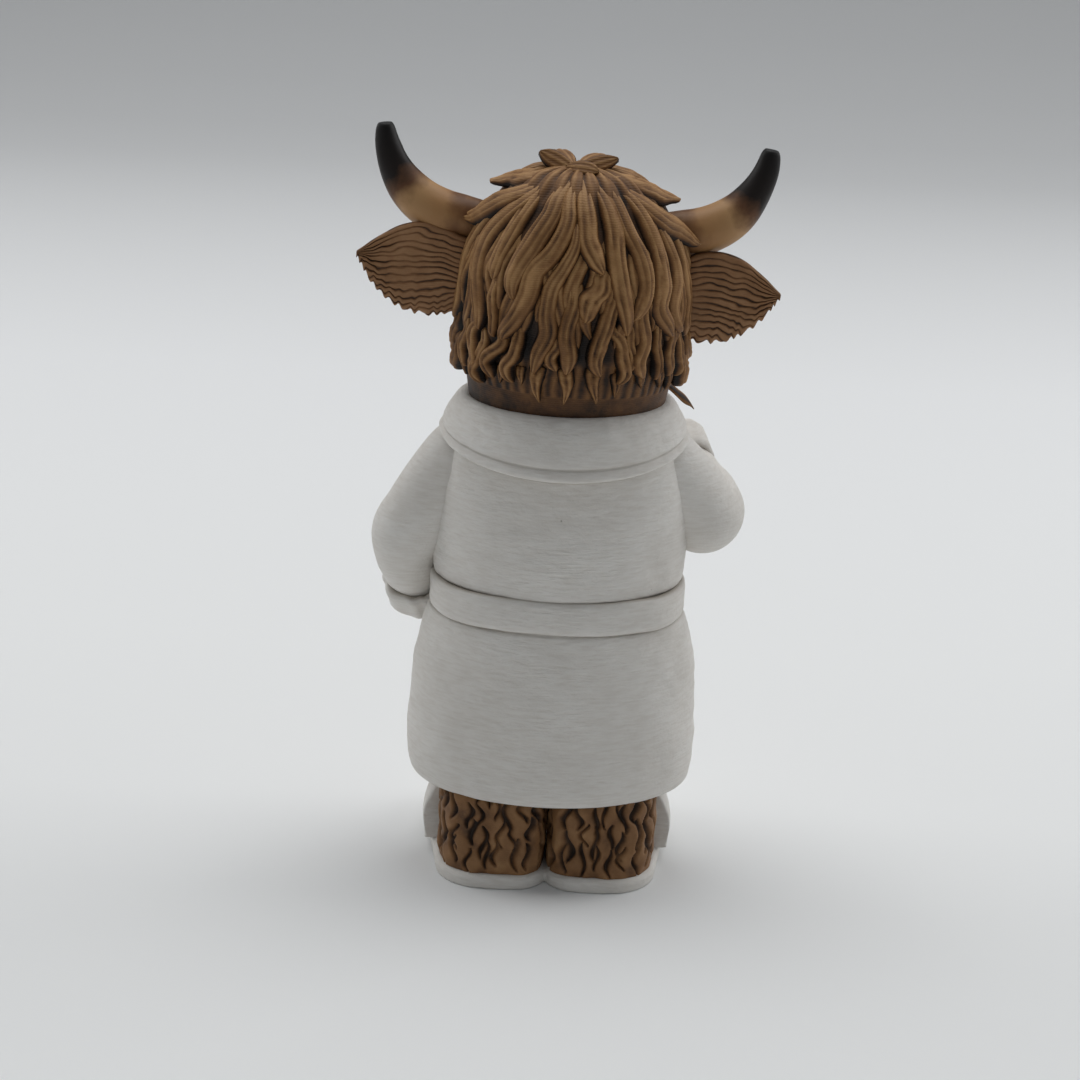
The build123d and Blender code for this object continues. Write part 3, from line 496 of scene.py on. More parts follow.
def leg_coat(side):
    """A leg's squarish coat, cut with short wavy grooves that a dark wash fills."""
    grooves = leg_grooves(side)

    def skin(share, angle):
        rise = between(LEG_TOP, LEG_FOOT, clamped((share - 0.08) / 0.84))
        size = math.sin(clamped(min(share, 1 - share) / 0.08) * math.pi / 2)
        sine, cosine = math.sin(angle), math.cos(angle)
        inner = cosine * side < 0
        square = 4.6 if inner else 2.8
        reach = (abs(sine) ** square + abs(cosine) ** square) ** (-1 / square)
        cut = 0.0
        for turn, top, length, sway, width, phase in grooves:
            down = (top - rise) / length
            if -0.1 < down < 1.1:
                off = (math.degrees(angle) - turn - sway * math.sin(5.2 * down + phase) + 180) % 360 - 180
                if abs(off) < 12:
                    taper = math.sin(math.pi * clamped((down + 0.1) / 1.2)) ** 0.5
                    cut = max(cut, math.exp(-(abs(off) * 0.19 / (width * max(taper, 0.25))) ** 2.4))
        soft = 0.35 * wobble(4 * cosine + side * 9, 4 * sine, rise * 0.35)
        out = between(0.975, 1.0, eased((rise - LEG_FOOT) / 2.0)) * between(1.0, 0.93, eased((rise - 13) / 5))
        inward = GROOVE_DEPTH * cut - soft
        point = Vector((side * LEG_MIDDLE[0] + (LEG_HALF_WIDTH * out - inward) * size * reach * cosine,
                        LEG_MIDDLE[1] + (LEG_HALF_DEPTH * out - inward) * size * reach * sine, rise))
        mark = clamped(0.6 - 0.5 * cut + 0.8 * soft)
        # The coat's paint darkens over its top and its underside: painted shade under the skirt and on the sole
        return point, mark * between(0.45, 1.0, size)

    name = SIDE_NAMES[side]
    return blob("leg_coat_" + name, 280, 84, skin, LEG, ("leg_" + name,))


for side in (1, -1):
    slipper_cap(side)
    leg_coat(side)


# Head

def scalp(turn, fall, lift=0.0):
    """A point over the head: turned from the back towards the left, and down from the crown, in degrees."""
    sine, cosine = math.sin(math.radians(fall)), math.cos(math.radians(fall))
    reach = (abs(sine) ** HEAD_SQUARENESS + abs(cosine) ** HEAD_SQUARENESS) ** (-1 / HEAD_SQUARENESS)
    half_height = HEAD_RISE if cosine > 0 else HEAD_DROP
    return HEAD_MIDDLE + Vector(((HEAD_HALF_WIDTH + lift) * reach * sine * math.sin(math.radians(turn)),
                                 (HEAD_HALF_DEPTH + lift) * reach * sine * math.cos(math.radians(turn)),
                                 (half_height + lift) * reach * cosine))


def scalp_out(turn, fall):
    """The way straight out of the head at that point."""
    down = scalp(turn, fall + 1) - scalp(turn, fall - 1)
    side = scalp(turn + 1, fall) - scalp(turn - 1, fall)
    return side.cross(down).normalized()


# The scalp takes this share of the skull's form and ends so many degrees down from the crown. The neck takes the rest,
# down to a height inside the robe.
SCALP_SHARE = 0.82
SCALP_END = 119
NECK_END = 74.4


def skull_skin(share, angle):
    """The head under its hair: combed ribs at the crown, rubbed strands between the locks, and a smooth neck whose
    paint darkens towards the collar, which is painted shade.
    """
    turn = math.degrees(angle)
    if share < SCALP_SHARE:
        fall = between(0.5, SCALP_END, share / SCALP_SHARE)
        sunk = eased((fall - 22) / 26)
        around = math.radians(turn)
        combed = abs(math.sin(around * 12 + 1.2 * wobble(turn * 0.04, fall * 0.05, 1.0))) ** 0.7
        fine = 0.5 + 0.5 * math.sin(around * 46 + 2.0 * wobble(turn * 0.06, fall * 0.06, 3.0))
        strands = 0.5 + 0.5 * math.sin(around * 26 + 3 * wobble(turn * 0.03, fall * 0.06, 2.0))
        top = 0.1 + 0.5 * combed * eased(fall / 10) + 0.12 * fine * eased((fall - 8) / 10)
        lift = between(top, 0.75 - HAIR_DEPTH + 0.4 * strands, sunk)
        mark = between(0.22 + 0.52 * combed + 0.22 * fine, 0.02 + 0.3 * strands, sunk)
        face = eased((-math.cos(around) - 0.35) / 0.3)
        mark = between(mark, 0.36 + 0.22 * fine, face * sunk)
        point = scalp(turn, fall, lift)
        if fall > 98:
            groove = 0.5 + 0.5 * math.sin(around * 60 + 2 * wobble(turn * 0.1, fall * 0.1, 4.0))
            point = scalp(turn, fall, between(lift, 0.5 - HAIR_DEPTH + 0.15 * groove, eased((fall - 98) / 6)))
            mark = between(mark, 0.22 + 0.4 * groove, eased((fall - 98) / 6))
    else:
        run = (share - SCALP_SHARE) / (1 - SCALP_SHARE)
        top = scalp(turn, SCALP_END, 0.55 - HAIR_DEPTH)
        low = Vector((14.7 * math.sin(angle), 14.1 * math.cos(angle), NECK_END))
        point = top.lerp(low, eased(clamped(run * 1.25)))
        if run > 0.8:
            point = point.lerp(Vector((0, 0, NECK_END)), (run - 0.8) / 0.2)
        # The neck's paint darkens towards the collar: painted shade under the head
        mark = between(0.45, 0.2, clamped(run * 2))
    return tilted(point), mark


blob("head_skull", 420, 150, skull_skin, HAIR, ("head",))


# Hair

def add_lock(bm, path, width, depth, seed, widths, depths, lifts, sways=0.32):
    """Adds one carved lock to the hair, a flat ribbon with fine ribs along it: path gives its turn and fall, and
    the tables its width, depth and lift as shares, from root to tip."""
    ribs = 2 + int(width > 3.0) + int(width > 4.2)

    def skin(share, angle):
        turn, fall = run_through(path, share)
        before, after = run_through(path, share - 0.02), run_through(path, share + 0.02)
        out = scalp_out(turn, fall)
        across = (scalp(*after) - scalp(*before)).cross(out).normalized()
        sway = sways * math.sin(11 * share + 2.3 * seed) * eased(share * 3)
        end = math.sin(math.pi * clamped(share / 0.08) / 2) * math.sin(math.pi * clamped((1 - share) / 0.06) / 2)
        wide = width / 2 * graded(widths, share) * end
        wide *= 1 + 0.14 * wobble(share * 5, seed, 3.0)
        deep = depth * graded(depths, share) * max(end, 0.15)
        lift = graded(lifts, share) * depth
        sine, cosine = math.sin(angle), math.cos(angle)
        side = math.copysign(abs(cosine) ** 0.8, cosine)
        top = max(1 - abs(side) ** 2.2, 0.0) ** 0.62
        half_rib = 0.5 * (ribs % 2 == 0)
        rib = abs(math.cos(math.pi * (side * ribs / 2 + half_rib + 0.25 * wobble(share * 4, seed, 0.0)))) ** 0.6
        up = top * (0.7 + 0.3 * rib + 0.08 * wobble(share * 12, side * 2, seed)) if sine > 0 else -0.4 * top
        seat = scalp(turn, fall, 0.6 - HAIR_DEPTH) + out * lift
        point = seat + across * (wide * side + sway) + out * (deep * up)
        # A random change of tone, and a darkening of the locks lower down the head, which is painted shade; the
        # thinnest locks are a little darker too
        wear_and_shade = 0.12 * wobble(share * 9, side * 2 + seed, 6.0) - 0.2 * eased((fall - 62) / 30)
        wear_and_shade -= 0.1 if depth < 1.25 else 0.0
        mark = clamped(1.08 * eased(top * 1.05) * (0.42 + 0.58 * rib) + wear_and_shade) if sine > 0 else 0.05
        return tilted(point), mark

    add_blob(bm, 28, 40, skin)


def hair(name, locks, node_name, wisp=()):
    """A set of locks as one piece, with a loose pointed wisp along the places that are given for one."""
    bm = bmesh.new()
    if wisp:
        def skin(share, angle):
            thick = 1.15 * math.sin(math.pi * clamped(0.12 + 0.88 * share)) ** 0.7 + 0.08
            thick *= math.sin(math.pi * clamped(min(share, 1 - share) / 0.1) / 2)
            out = Vector((0.5 * thick * math.cos(angle), 0.9 * thick * math.sin(angle), thick * math.cos(angle)))
            return Vector(run_through(wisp, share)) + out, 0.45 + 0.35 * math.cos(3 * angle)
        add_blob(bm, 20, 26, skin)
    for index, (path, width, depth, shape) in enumerate(locks):
        add_lock(bm, path, width, depth, index * 1.7, **shape)
    return finished(bm, name, HAIR, (node_name,))


def swayed(turn, fall_from, fall_to, sway, phase):
    """A path of nine places down the head that sways from side to side, by a sway in millimetres."""
    path = []
    for step in range(9):
        share = step / 8
        fall = between(fall_from, fall_to, share)
        reach = scalp(90, fall).x
        path.append((turn + math.degrees(sway / reach) * math.sin(math.radians(phase + 430 * share)), fall))
    return path


# How a lock's width, depth and lift run from root to tip, as shares
SHAPE_LONG = {"widths": (0.45, 0.6, 0.78, 0.92, 1.0, 1.05, 1.0, 0.8, 0.15),
              "depths": (0.1, 0.55, 0.85, 1.0, 1.0, 1.0, 0.95, 0.85, 0.4),
              "lifts": (0.5, 0.3, 0.12, 0.0, 0.0, 0.0, 0.1, 0.25, 0.3)}
SHAPE_TUCKED = {"widths": (0.6, 0.9, 1.0, 1.0, 1.0, 0.85, 0.15), "depths": (0.2, 0.55, 0.85, 1.0, 1.0, 0.85, 0.4),
                "lifts": (0.0, 0.0, 0.0, 0.0, 0.1, 0.2, 0.25)}
SHAPE_SPIKE = {"widths": (0.8, 1.0, 0.9, 0.65, 0.3, 0.05), "depths": (0.3, 0.8, 1.0, 0.9, 0.7, 0.4),
               "lifts": (0.0, 0.0, 0.1, 0.2, 0.25, 0.3), "sways": 0.05}
SHAPE_FLICK = {"widths": (0.6, 0.9, 1.0, 1.0, 0.85, 0.55, 0.12), "depths": (0.3, 0.8, 1.0, 1.0, 0.9, 0.7, 0.4),
               "lifts": (0.45, 0.4, 0.4, 0.45, 0.6, 1.0, 1.6)}

# Locks of the top layer over the back of the head: each is its width and depth, and the places it runs through, as a
# turn from the back and a fall from the crown, in degrees
UPPER = (
    (1.8, 1.5, ((60, 30), (70, 46), (80, 58), (86, 68), (88, 78), (88, 87))),
    (2.0, 1.7, ((52, 28), (62, 44), (72, 57), (78, 67), (79, 78), (80, 88), (83, 93))),
    (2.6, 2.0, ((34, 7), (34, 20), (44, 36), (53, 48), (58, 58), (58, 70), (53, 82), (53, 92))),
    (2.2, 1.7, ((26, 7), (26, 20), (36, 32), (41, 47), (43, 58), (44, 66), (46, 71))),
    (2.9, 2.4, ((14, 7), (14, 20), (18, 34), (18, 44), (25, 55), (31, 63), (32, 70), (29, 77))),
    (2.6, 2.3, ((8, 7), (8, 20), (10, 34), (9, 46), (14, 57), (21, 65), (23, 74), (28, 82), (35, 89), (36, 94))),
    (2.3, 2.1, ((2, 44), (2, 54), (6, 63), (12, 71), (14, 80), (12, 88), (15, 98), (18, 108))),
    (2.5, 2.3, ((4, 7), (4, 20), (-1, 32), (-5, 44), (-5, 53), (-8, 59), (-14, 64))),
    (2.4, 2.2, ((-12, 7), (-12, 20), (-17, 32), (-19, 46), (-20, 56), (-23, 67), (-25, 78), (-26, 88))),
    (2.3, 2.1, ((-22, 7), (-22, 20), (-27, 34), (-30, 48), (-34, 58), (-36, 68), (-34, 76), (-30, 82))),
    (2.6, 2.2, ((-32, 7), (-32, 20), (-40, 34), (-44, 48), (-48, 60), (-49, 69), (-45, 77), (-50, 84), (-57, 90))),
    (2.1, 1.9, ((-46, 30), (-54, 46), (-59, 57), (-60, 67), (-57, 76), (-60, 83), (-66, 89))),
    (2.0, 1.7, ((-56, 30), (-64, 46), (-70, 57), (-73, 66), (-74, 76), (-71, 84), (-75, 91))),
    (1.8, 1.5, ((-66, 32), (-74, 46), (-81, 56), (-85, 66), (-86, 76), (-84, 86))),
)
# The layer under it
LOWER = (
    (1.9, 2.0, ((45, 67), (43, 75), (42, 84), (40, 93))),
    (2.2, 2.1, ((40, 86), (36, 93), (41, 100), (45, 106), (42, 113))),
    (2.2, 2.2, ((30, 82), (26, 90), (29, 98), (32, 105), (29, 113))),
    (2.8, 2.4, ((0, 66), (1, 76), (2, 87), (2, 97), (1, 106))),
    (3.3, 2.4, ((-15, 62), (-12, 68), (-8, 74), (-4, 82))),
    (2.7, 2.3, ((-14, 66), (-19, 73), (-17, 81), (-12, 90), (-12, 98), (-16, 106))),
    (2.2, 2.0, ((-16, 82), (-22, 88), (-26, 95), (-27, 103), (-24, 110))),
    (2.5, 2.2, ((-38, 70), (-36, 80), (-36, 90), (-35, 99), (-38, 108))),
    (1.6, 1.9, ((-45, 78), (-46, 88), (-46, 99), (-49, 109))),
    (1.9, 1.8, ((-60, 78), (-57, 88), (-56, 98), (-58, 109))),
    (2.2, 2.0, ((50, 84), (56, 91), (57, 99), (53, 105), (56, 113))),
    (1.9, 1.8, ((66, 86), (64, 95), (67, 104), (65, 112))),
    (2.1, 1.7, ((6, 82), (7, 90), (9, 98), (8, 105))),
    (1.9, 1.7, ((-28, 80), (-30, 90), (-30, 99), (-28, 107))),
    (2.0, 1.8, ((-68, 86), (-67, 95), (-70, 103), (-68, 110))),
    (2.0, 2.0, ((51, 90), (47, 97), (52, 104), (54, 111), (50, 117))),
)
# The small points on the nape
NAPE = ((2.1, 1.4, ((16, 103), (17, 111), (15, 121))), (2.1, 1.4, ((3, 103), (1, 111), (2, 121))),
        (2.1, 1.4, ((-11, 102), (-12, 110), (-15, 120))), (1.5, 0.9, ((-24, 105), (-25, 117))),
        (1.3, 0.7, ((26, 105), (25, 114))), (1.5, 0.9, ((-38, 104), (-40, 113))), (1.3, 0.8, ((37, 106), (38, 115))),
        (1.8, 1.0, ((-52, 104), (-54, 114))), (1.8, 1.0, ((60, 106), (62, 116))),
        (1.6, 0.9, ((-64, 106), (-63, 116))), (1.7, 1.0, ((70, 106), (70, 117))))
# The leaves that stand at the crown, each a run of places in millimetres, a width and a thickness
CROWN = ((((1.8, 2.6, 117.7), (3.5, 2.8, 118.6), (5.4, 2.9, 119.5), (7.2, 2.8, 120.3)), 3.3, 1.7),
         (((0.8, 2.4, 117.7), (-1.0, 2.6, 118.5), (-3.2, 2.7, 119.3), (-5.4, 2.6, 120.0)), 2.9, 1.6),
         (((2.6, 4.0, 118.2), (0.9, 5.2, 118.6), (-0.8, 6.0, 118.6), (-2.4, 6.4, 118.2)), 2.7, 1.5),
         (((1.8, 0.4, 118.0), (2.8, -2.0, 118.9), (3.8, -4.4, 119.2), (4.6, -6.4, 118.6)), 3.2, 1.5),
         (((0.6, 0.2, 118.0), (-1.0, -1.6, 118.9), (-2.6, -3.4, 119.1), (-4.0, -5.0, 118.4)), 3.0, 1.5))
# The locks that flick out over the horns, by side, and the tufts on the left cheek, which the right mirrors
FLICKS = {1: ((5.4, 1.9, ((40, 14), (56, 20), (70, 26), (82, 31), (86, 36), (87, 40))),
              (4.6, 1.9, ((44, 28), (54, 37), (66, 44), (76, 49), (83, 53), (86, 56)))),
          -1: ((5.0, 1.9, ((32, 14), (52, 20), (66, 28), (78, 34), (84, 39), (86, 43))),
               (4.4, 1.9, ((38, 26), (48, 37), (60, 45), (72, 51), (80, 55), (84, 58))))}
CHEEKS = ((3.2, 1.7, ((100, 42), (105, 54), (101, 66), (105, 80), (102, 95))),
          (3.2, 1.7, ((112, 38), (117, 52), (112, 65), (116, 79), (113, 92))),
          (2.6, 1.8, ((82, 84), (80, 92), (83, 100), (86, 106))),
          (2.8, 2.0, ((78, 96), (80, 104), (82, 111), (86, 117))),
          (2.8, 1.9, ((96, 90), (95, 98), (98, 106), (96, 113))),
          (3.0, 2.1, ((104, 74), (108, 88), (105, 100), (108, 114))),
          (3.2, 2.2, ((114, 66), (118, 80), (116, 94), (120, 108), (118, 116))),
          (3.2, 2.2, ((124, 62), (128, 76), (126, 90), (130, 102), (128, 111))))


# A thin pointed wisp of beard that stands out over the right cuff, as places in millimetres
WISP = ((-14.6, -5.6, 83.6), (-17.0, -6.2, 81.8), (-18.8, -6.6, 80.2), (-20.2, -7.0, 79.2), (-21.3, -7.2, 77.9))


def locks_from(rows, shape, side=1, wider=1.0):
    """Locks from rows of a width, a depth and a path, on one side of the head and so much wider."""
    return [([(side * turn, fall) for turn, fall in path], width * wider, depth, shape)
            for width, depth, path in rows]


hair("hair_upper_locks", locks_from(UPPER, SHAPE_LONG, 1, 1.45), "hair_upper")
# Plain locks lie side by side right round under the rows of the lower layer
under = []
for index in range(25):
    turn = between(-98, 98, index / 24)
    under.append((swayed(turn, 46, 91 + 7 * math.sin(1.7 * index), 0.8, 120 + 67 * index), 2.9, 1.2, SHAPE_TUCKED))
hair("hair_lower_locks", under + locks_from(LOWER, SHAPE_TUCKED, 1, 1.2), "hair_lower")
hair("hair_nape_spikes", locks_from(NAPE, SHAPE_SPIKE, 1, 1.35), "hair_nape")


def crown_leaves():
    """Five small leaves of hair that stand up round the crown, each pointed, ribbed and a little cupped."""
    bm = bmesh.new()
    for places, width, thick in CROWN:
        def skin(share, angle):
            place = Vector(run_through(places, share))
            ahead = Vector(run_through(places, share + 0.03)) - Vector(run_through(places, share - 0.03))
            faces = Vector((0, 0.8, 0.6)) if places[0][1] > 1 else Vector((0, 0, 1))
            across = ahead.cross(faces).normalized()
            up = across.cross(ahead).normalized()
            wide = width / 2 * graded((0.3, 0.85, 1.0, 0.85, 0.12), share)
            wide *= math.sin(math.pi * clamped(min(share, 1 - share) / 0.08) / 2)
            side, sine = math.cos(angle), math.sin(angle)
            rib = 0.5 + 0.5 * math.cos(math.tau * 1.5 * side)
            top = max(1 - abs(side) ** 2.4, 0.0) ** 0.6
            rise = thick * top * (0.42 + 0.14 * rib if sine > 0 else -0.4) + 0.25 * side * side
            mark = clamped((0.45 + 0.55 * rib) * top + 0.15) if sine > 0 else 0.2
            return tilted(place + across * (wide * side) + up * rise), mark
        add_blob(bm, 28, 30, skin)
    return finished(bm, "hair_crown_leaves", HAIR, ("hair_crown",))


crown_leaves()
fringe = []
for index in range(12):
    turn = between(122, 238, index / 11)
    fringe.append((swayed(turn, 12, 69 + 5 * math.sin(2.9 * index), 0.9, 200 + 47 * index), 4.4, 2.3, SHAPE_LONG))
hair("hair_fringe_locks", fringe, "hair_fringe")
for side, name in SIDE_NAMES.items():
    hair("hair_flick_" + name + "_tips", locks_from(FLICKS[side], SHAPE_FLICK, side), "hair_flick_" + name)
    hair("hair_cheek_" + name + "_tufts", locks_from(CHEEKS, SHAPE_TUCKED, side, 1.25), "hair_cheek_" + name,
         WISP if side < 0 else ())


# Horns. Each row is a place on the left horn and a radius. They lean about a height of their own, and the ears too.

HORN_PIVOT, EAR_PIVOT, EAR_LEAN = 118.2, 109.6, 3.4
HORN_PLACES = ((11.0, 0.0, 108.0, 3.0), (14.4, 0.0, 108.4, 3.3), (17.4, 0.0, 108.9, 3.5), (20.4, -0.1, 109.3, 3.75),
               (23.6, -0.4, 110.7, 3.6), (26.4, -0.8, 113.0, 3.15), (28.6, -1.1, 116.2, 2.5),
               (29.9, -1.2, 119.6, 1.95), (30.4, -1.2, 122.7, 1.35))


def horn(side):
    """A horn swept out and up, with the shallow dents of carving and a blunt tip."""
    def skin(share, angle):
        run = clamped((share - 0.02) / 0.95)
        middle, radius, across, up = cross_section(HORN_PLACES, run)
        end = math.sqrt(clamped(min(share / 0.02, 1 - max(share - 0.92, 0) ** 2 / 0.0064)))
        radius = (radius + 0.1 * wobble(run * 7, math.cos(angle) * 1.3, math.sin(angle) * 1.3 + side * 4)) * end
        point = middle + across * (radius * math.cos(angle)) + up * (radius * math.sin(angle))
        point.x *= side
        return tilted(point, HEAD_LEAN, HORN_PIVOT), clamped((run - 0.28) / 0.72)

    name = SIDE_NAMES[side]
    return blob("horn_" + name + "_form", 40, 64, skin, HORN, ("horn_" + name,))


# Ears. Each row is a slice out from the head: its reach, its top and its low edge, in millimetres.

EAR_SLICES = ((14.5, 5.0, -6.0), (17.5, 5.9, -6.7), (20.0, 6.9, -7.1), (22.6, 7.4, -7.2), (25.0, 7.2, -6.8),
              (27.4, 6.4, -5.8), (29.6, 5.0, -4.2), (31.4, 3.7, -2.2), (32.7, 2.6, -0.2), (33.6, 1.9, 1.2))
EAR_HEIGHT = 100.0


def ear(side):
    """A broad leaf of an ear: fine grooves that fan out from its root over the back, a hollow in front, and a low
    edge that the grooves make ragged."""
    def skin(share, angle):
        run = clamped((share - 0.03) / 0.95)
        x, top, low = run_through(EAR_SLICES, run)
        end = math.sqrt(clamped(min(share / 0.03, (1 - share) / 0.02)))
        height = 0.5 + 0.5 * math.cos(angle)
        bend = 0.9 * wobble(run * 4, height * 3, side * 2.0) + 0.35 * wobble(run * 11, height * 9, side * 3.0)
        wave = abs(math.sin(math.pi * (15 * height + 9 * run * run * (1 - height) ** 1.5 + bend)))
        ridge = clamped(wave / 0.72) ** 0.9
        ridge = between(1.0, ridge, clamped(0.75 + 0.6 * wobble(run * 3, height * 7, side * 5.0)))
        tooth = 0.5 + 0.5 * math.cos(math.tau * (13 * run + 0.7 * wobble(run * 9, side, 0.0)))
        low -= 0.7 * tooth * (1 - height) ** 4 * eased(run * 3) - 0.35
        middle, half = (top + low) / 2, (top - low) / 2
        thick = between(2.3, 0.5, run) * abs(math.sin(angle)) ** 0.7 + 0.05
        back = math.sin(angle) > 0
        carve = 0.42 * ridge * between(0.6, 1.0, run) if back else 0.12 * ridge
        depth = thick * (1.0 if back else -0.15) + (carve if back else 0)
        point = Vector((side * x, HEAD_MIDDLE.y + 0.6 + 0.9 * run * run + depth * end,
                        EAR_HEIGHT + middle + half * math.cos(angle) * end))
        mark = between(-0.05, 0.84, ridge) if back else between(0.35, 0.7, ridge)
        return tilted(point, EAR_LEAN, EAR_PIVOT), mark

    name = SIDE_NAMES[side]
    return blob("ear_" + name + "_leaf", 360, 110, skin, EAR, ("ear_" + name,))


for side in (1, -1):
    horn(side)
    ear(side)


# The front and the soles: the solids' own forms with their edges worn soft, as cast and painted resin has them

POCKET_EDGE = 19.0
MOUTH_HEIGHT, NOSTRIL_HEIGHT, NOSTRIL_REACH = 85.6, 91.0, 4.8
EYE_RADIUS = 2.25


def plain(place):
    """No carving, and the paint's full tone."""
    return Vector((0, 0, 0)), 1.0


def softened(name, material, shape, grain=0.3, passes=5):
    """A fine skin drawn over a solid of the model, its grain in millimetres, smoothed in passes, and then carved by
    shape(place), which gives how far a place moves and its mark on the paint."""
    rough = bpy.data.objects.new("rough_" + name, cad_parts[name].data.copy())
    bpy.context.scene.collection.objects.link(rough)
    skin = rough.modifiers.new("skin", "REMESH")
    skin.mode, skin.voxel_size = "VOXEL", grain * MM
    fine = bpy.data.meshes.new_from_object(rough.evaluated_get(bpy.context.evaluated_depsgraph_get()))
    bpy.data.objects.remove(rough)
    bm = bmesh.new()
    bm.from_mesh(fine)
    bmesh.ops.scale(bm, vec=(1 / MM, 1 / MM, 1 / MM), verts=bm.verts)
    for _ in range(passes):
        bmesh.ops.smooth_vert(bm, verts=bm.verts, factor=0.5, use_axis_x=True, use_axis_y=True, use_axis_z=True)
    ridge = bm.verts.layers.float.new("ridge")
    for vert in bm.verts:
        moved, mark = shape(vert.co)
        vert.co += moved
        vert[ridge] = mark
    return finished(bm, name + "_form", material, (name,))


def cloth_dents(place):
    """Shallow dents in painted cloth."""
    dent = 0.12 * wobble(*(place * 0.3)) + 0.05 * wobble(*(place * 0.9))
    return Vector((0, dent, 0)), 1.0


def pocket_cloth(place):
    """The pocket's dents, and its side edge sunk into the skirt."""
    moved, mark = cloth_dents(place)
    sunk = eased((place.x - POCKET_EDGE) / 2.5)
    return moved + Vector((-1.9 * sunk, 0.7 * sunk, 0)), mark


def fur_strands(place):
    """Strands of fur that run down the chest to the point of the V."""
    lean = place.x * (place.z - 40) / 30
    strand = abs(math.sin(2.1 * lean + 1.4 * wobble(lean * 0.3, place.z * 0.22, 2.0))) ** 0.7
    tip = 0.5 + 0.5 * math.cos(1.3 * place.z + 4.1 * math.floor(lean * 0.67))
    return Vector((0, -0.45 * strand * (0.6 + 0.4 * tip) + 0.3, 0)), clamped(0.15 + 0.6 * strand * (0.7 + 0.3 * tip))


def dusty_nose(place):
    """Small pores, the dark of the nostrils and the groove of the mouth."""
    smile = place.z - MOUTH_HEIGHT - 0.03 * (place.x + 0.3) ** 2
    lips = math.exp(-(smile / 0.35) ** 2) * eased((6.4 - abs(place.x + 0.3)) / 1.5)
    hollow = min(math.hypot(place.x - side * NOSTRIL_REACH + 0.25, place.z - NOSTRIL_HEIGHT + 0.12 * side)
                 for side in (1, -1))
    return (Vector((0, 0.05 * wobble(*(place * 1.2)) + 0.4 * lips, 0)),
            between(0.1, 1.0, eased((hollow - 0.9) / 1.1)) * (1 - 0.75 * lips))


softened("robe_pocket", WHITE, pocket_cloth)
for name in ("robe_front_border", "belt_knot", "belt_end_left", "belt_end_right", "lapel_left", "lapel_right"):
    softened(name, WHITE, cloth_dents)
softened("slipper_soles", WHITE, plain)
softened("chest_fur", LEG, fur_strands, 0.2, 1)
softened("hoof_right", HOOF, plain, 0.2, 8)
softened("muzzle", MUZZLE, dusty_nose, 0.25, 16)


def eye(name, middle):
    """A glossy bead of an eye."""
    def skin(share, angle):
        out = Vector((math.sin(math.pi * share) * math.cos(angle), -math.cos(math.pi * share),
                      math.sin(math.pi * share) * math.sin(angle)))
        return Vector(middle) + EYE_RADIUS * out, 1.0

    return blob(name + "_bead", 40, 28, skin, EYE, (name,))


eye("eye_left", (9.1, -13.5, 98.05))
eye("eye_right", (-10.1, -13.5, 97.55))


# Floor and backdrop: one pale sheet that sweeps up behind. From here on, lengths are in metres.

SWEEP_NEAR, SWEEP_FAR, SWEEP_RADIUS, SWEEP_TOP, SWEEP_HALF_WIDTH = 1.6, -0.75, 0.55, 2.2, 2.4
SWEEP_STEPS = 12


def pale_paper():
    """Matte studio paper. Its fibres are too fine to show from here, so the eye sees only an even pale tone, with
    painted shade that falls to grey with the distance beyond the figure."""
    material, tree, shader, where = new_material("pale_paper_sweep", 0.85, 0.2)
    # Painted shade: the paper greys with the distance beyond the figure
    back = node(tree, "SeparateXYZ", {"Vector": where}).outputs["Y"]
    away = node(tree, "MapRange", {"Value": back, "From Min": -1.05, "From Max": -0.1}).outputs["Result"]
    tone = node(tree, "ValToRGB", {"Fac": away},
                ((0.0, "#b4b5b6"), (0.35, "#cbcccd"), (0.75, "#e4e5e6"), (1.0, "#e9eaea"))).outputs["Color"]
    feed(tree, shader, {"Base Color": tone})
    return material


def sweep():
    """The sheet: flat under the camera and the figure, then a quarter turn up to a wall beyond the figure."""
    bm = bmesh.new()
    outline = [(0.0, SWEEP_NEAR), (0.0, SWEEP_FAR)]
    for step in range(1, SWEEP_STEPS + 1):
        angle = math.radians(90 * step / SWEEP_STEPS)
        outline.append((SWEEP_RADIUS * (1 - math.cos(angle)), SWEEP_FAR - SWEEP_RADIUS * math.sin(angle)))
    outline.append((SWEEP_TOP, SWEEP_FAR - SWEEP_RADIUS))
    row = [bm.verts.new((-SWEEP_HALF_WIDTH, y, z)) for z, y in outline]
    edges = [bm.edges.new(pair) for pair in zip(row, row[1:])]
    made = bmesh.ops.extrude_edge_only(bm, edges=edges)["geom"]
    moved = [item for item in made if isinstance(item, bmesh.types.BMVert)]
    bmesh.ops.translate(bm, vec=(2 * SWEEP_HALF_WIDTH, 0, 0), verts=moved)
    bmesh.ops.recalc_face_normals(bm, faces=bm.faces)
    for face in bm.faces:
        face.smooth = True
        if face.normal.z < 0 or face.normal.y < -0.01:
            face.normal_flip()
    mesh = bpy.data.meshes.new("studio_sweep")
    bm.to_mesh(mesh)
    bm.free()
    sheet = bpy.data.objects.new("studio_sweep", mesh)
    bpy.context.scene.collection.objects.link(sheet)
    mesh.materials.append(pale_paper())


sweep()


# Light and camera

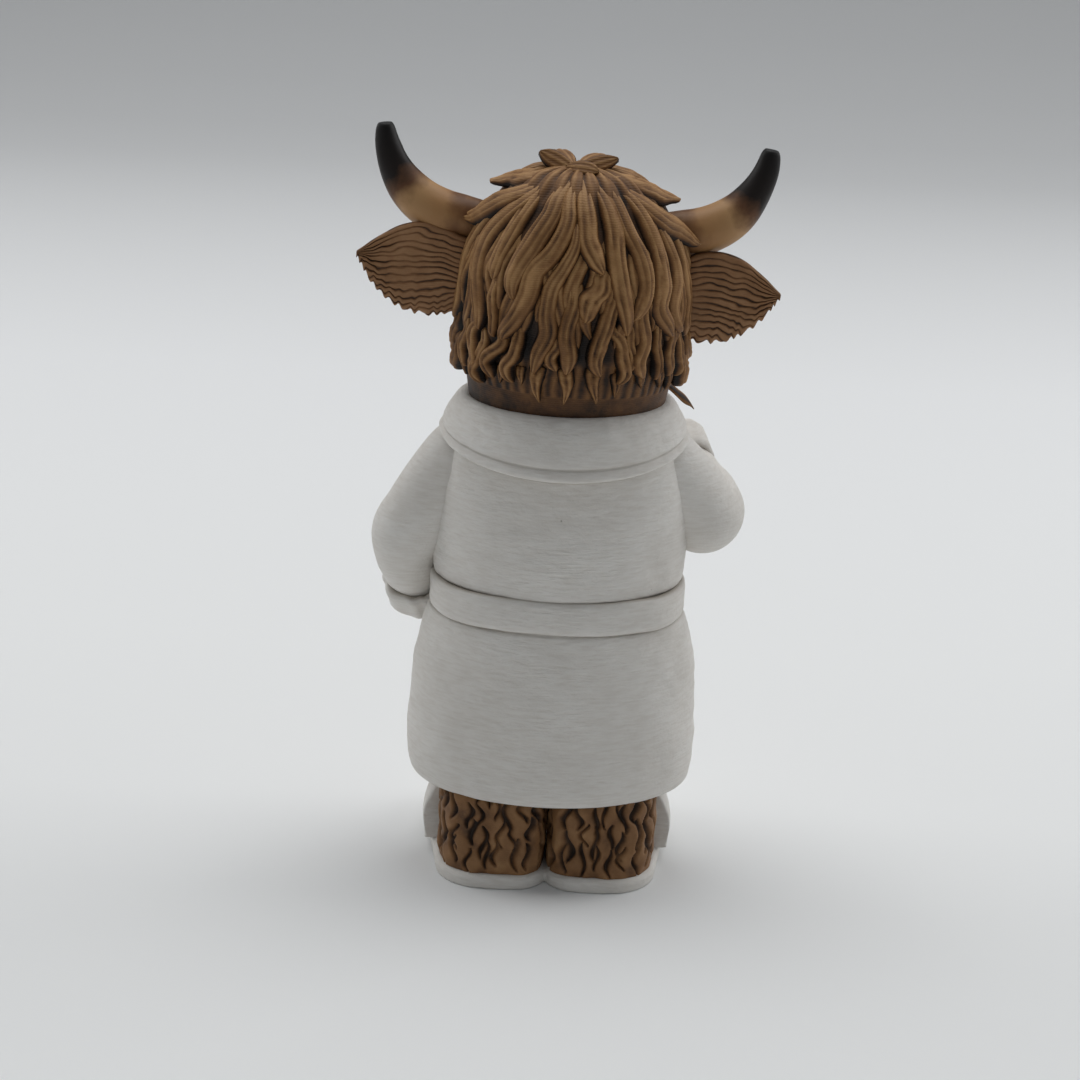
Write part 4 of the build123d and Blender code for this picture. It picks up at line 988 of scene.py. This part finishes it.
def soft_light(name, place, aim, size, power):
    """A soft lamp at a place, turned to its aim, of a width and a height, and a power in watts."""
    lamp = bpy.data.lights.new(name, "AREA")
    lamp.shape = "RECTANGLE"
    lamp.size, lamp.size_y = size
    lamp.energy = power
    lit = bpy.data.objects.new(name, lamp)
    lit.location = place
    lit.rotation_euler = (Vector(aim) - Vector(place)).to_track_quat("-Z", "Y").to_euler()
    bpy.context.scene.collection.objects.link(lit)


soft_light("top_softbox", (0.0, -0.3, 1.1), (0, 0, 0.05), (1.2, 0.9), 7.6)
soft_light("left_softbox", (0.9, -0.35, 0.5), (0, 0, 0.06), (0.7, 0.7), 2.6)
soft_light("right_softbox", (-0.9, -0.35, 0.5), (0, 0, 0.06), (0.7, 0.7), 3.4)

world = bpy.data.worlds.new("soft_room")
world.use_nodes = True
room = world.node_tree
# The room lights the figure faintly, and shows pale to the camera past the sheet's edges
dim = room.nodes["Background"]
feed(room, dim, {"Color": paint("#dfe3e6"), "Strength": 0.3})
pale = node(room, "Background", {"Color": paint("#c9cbcc"), "Strength": 1.0})
seen_ray = node(room, "LightPath").outputs["Is Camera Ray"]
behind = node(room, "MixShader", {0: seen_ray, 1: dim.outputs["Background"], 2: pale.outputs["Background"]})
feed(room, room.nodes["World Output"], {"Surface": behind.outputs["Shader"]})
bpy.context.scene.world = world

# The camera stands behind the figure, fitted to its soles, belt and collar in the photograph
CAMERA_PLACE = Vector((3.2, 367.1, 175.6)) * MM
CAMERA_AIM = Vector((3.2, 0, 56.3)) * MM
CAMERA_VIEW_ANGLE = 26
CAMERA_ROLL = 2.5

camera = bpy.data.cameras.new("photo_camera")
camera.sensor_width = 36
camera.lens = 36 / 2 / math.tan(math.radians(CAMERA_VIEW_ANGLE / 2))
camera.clip_start, camera.clip_end = 0.01, 20
seen = bpy.data.objects.new("photo_camera", camera)
seen.location = CAMERA_PLACE
aim = (CAMERA_AIM - CAMERA_PLACE).to_track_quat("-Z", "Y")
seen.rotation_mode = "QUATERNION"
seen.rotation_quaternion = aim @ Quaternion((0, 0, 1), math.radians(CAMERA_ROLL))
bpy.context.scene.collection.objects.link(seen)
bpy.context.scene.camera = seen
bpy.context.scene.view_settings.view_transform = "Standard"
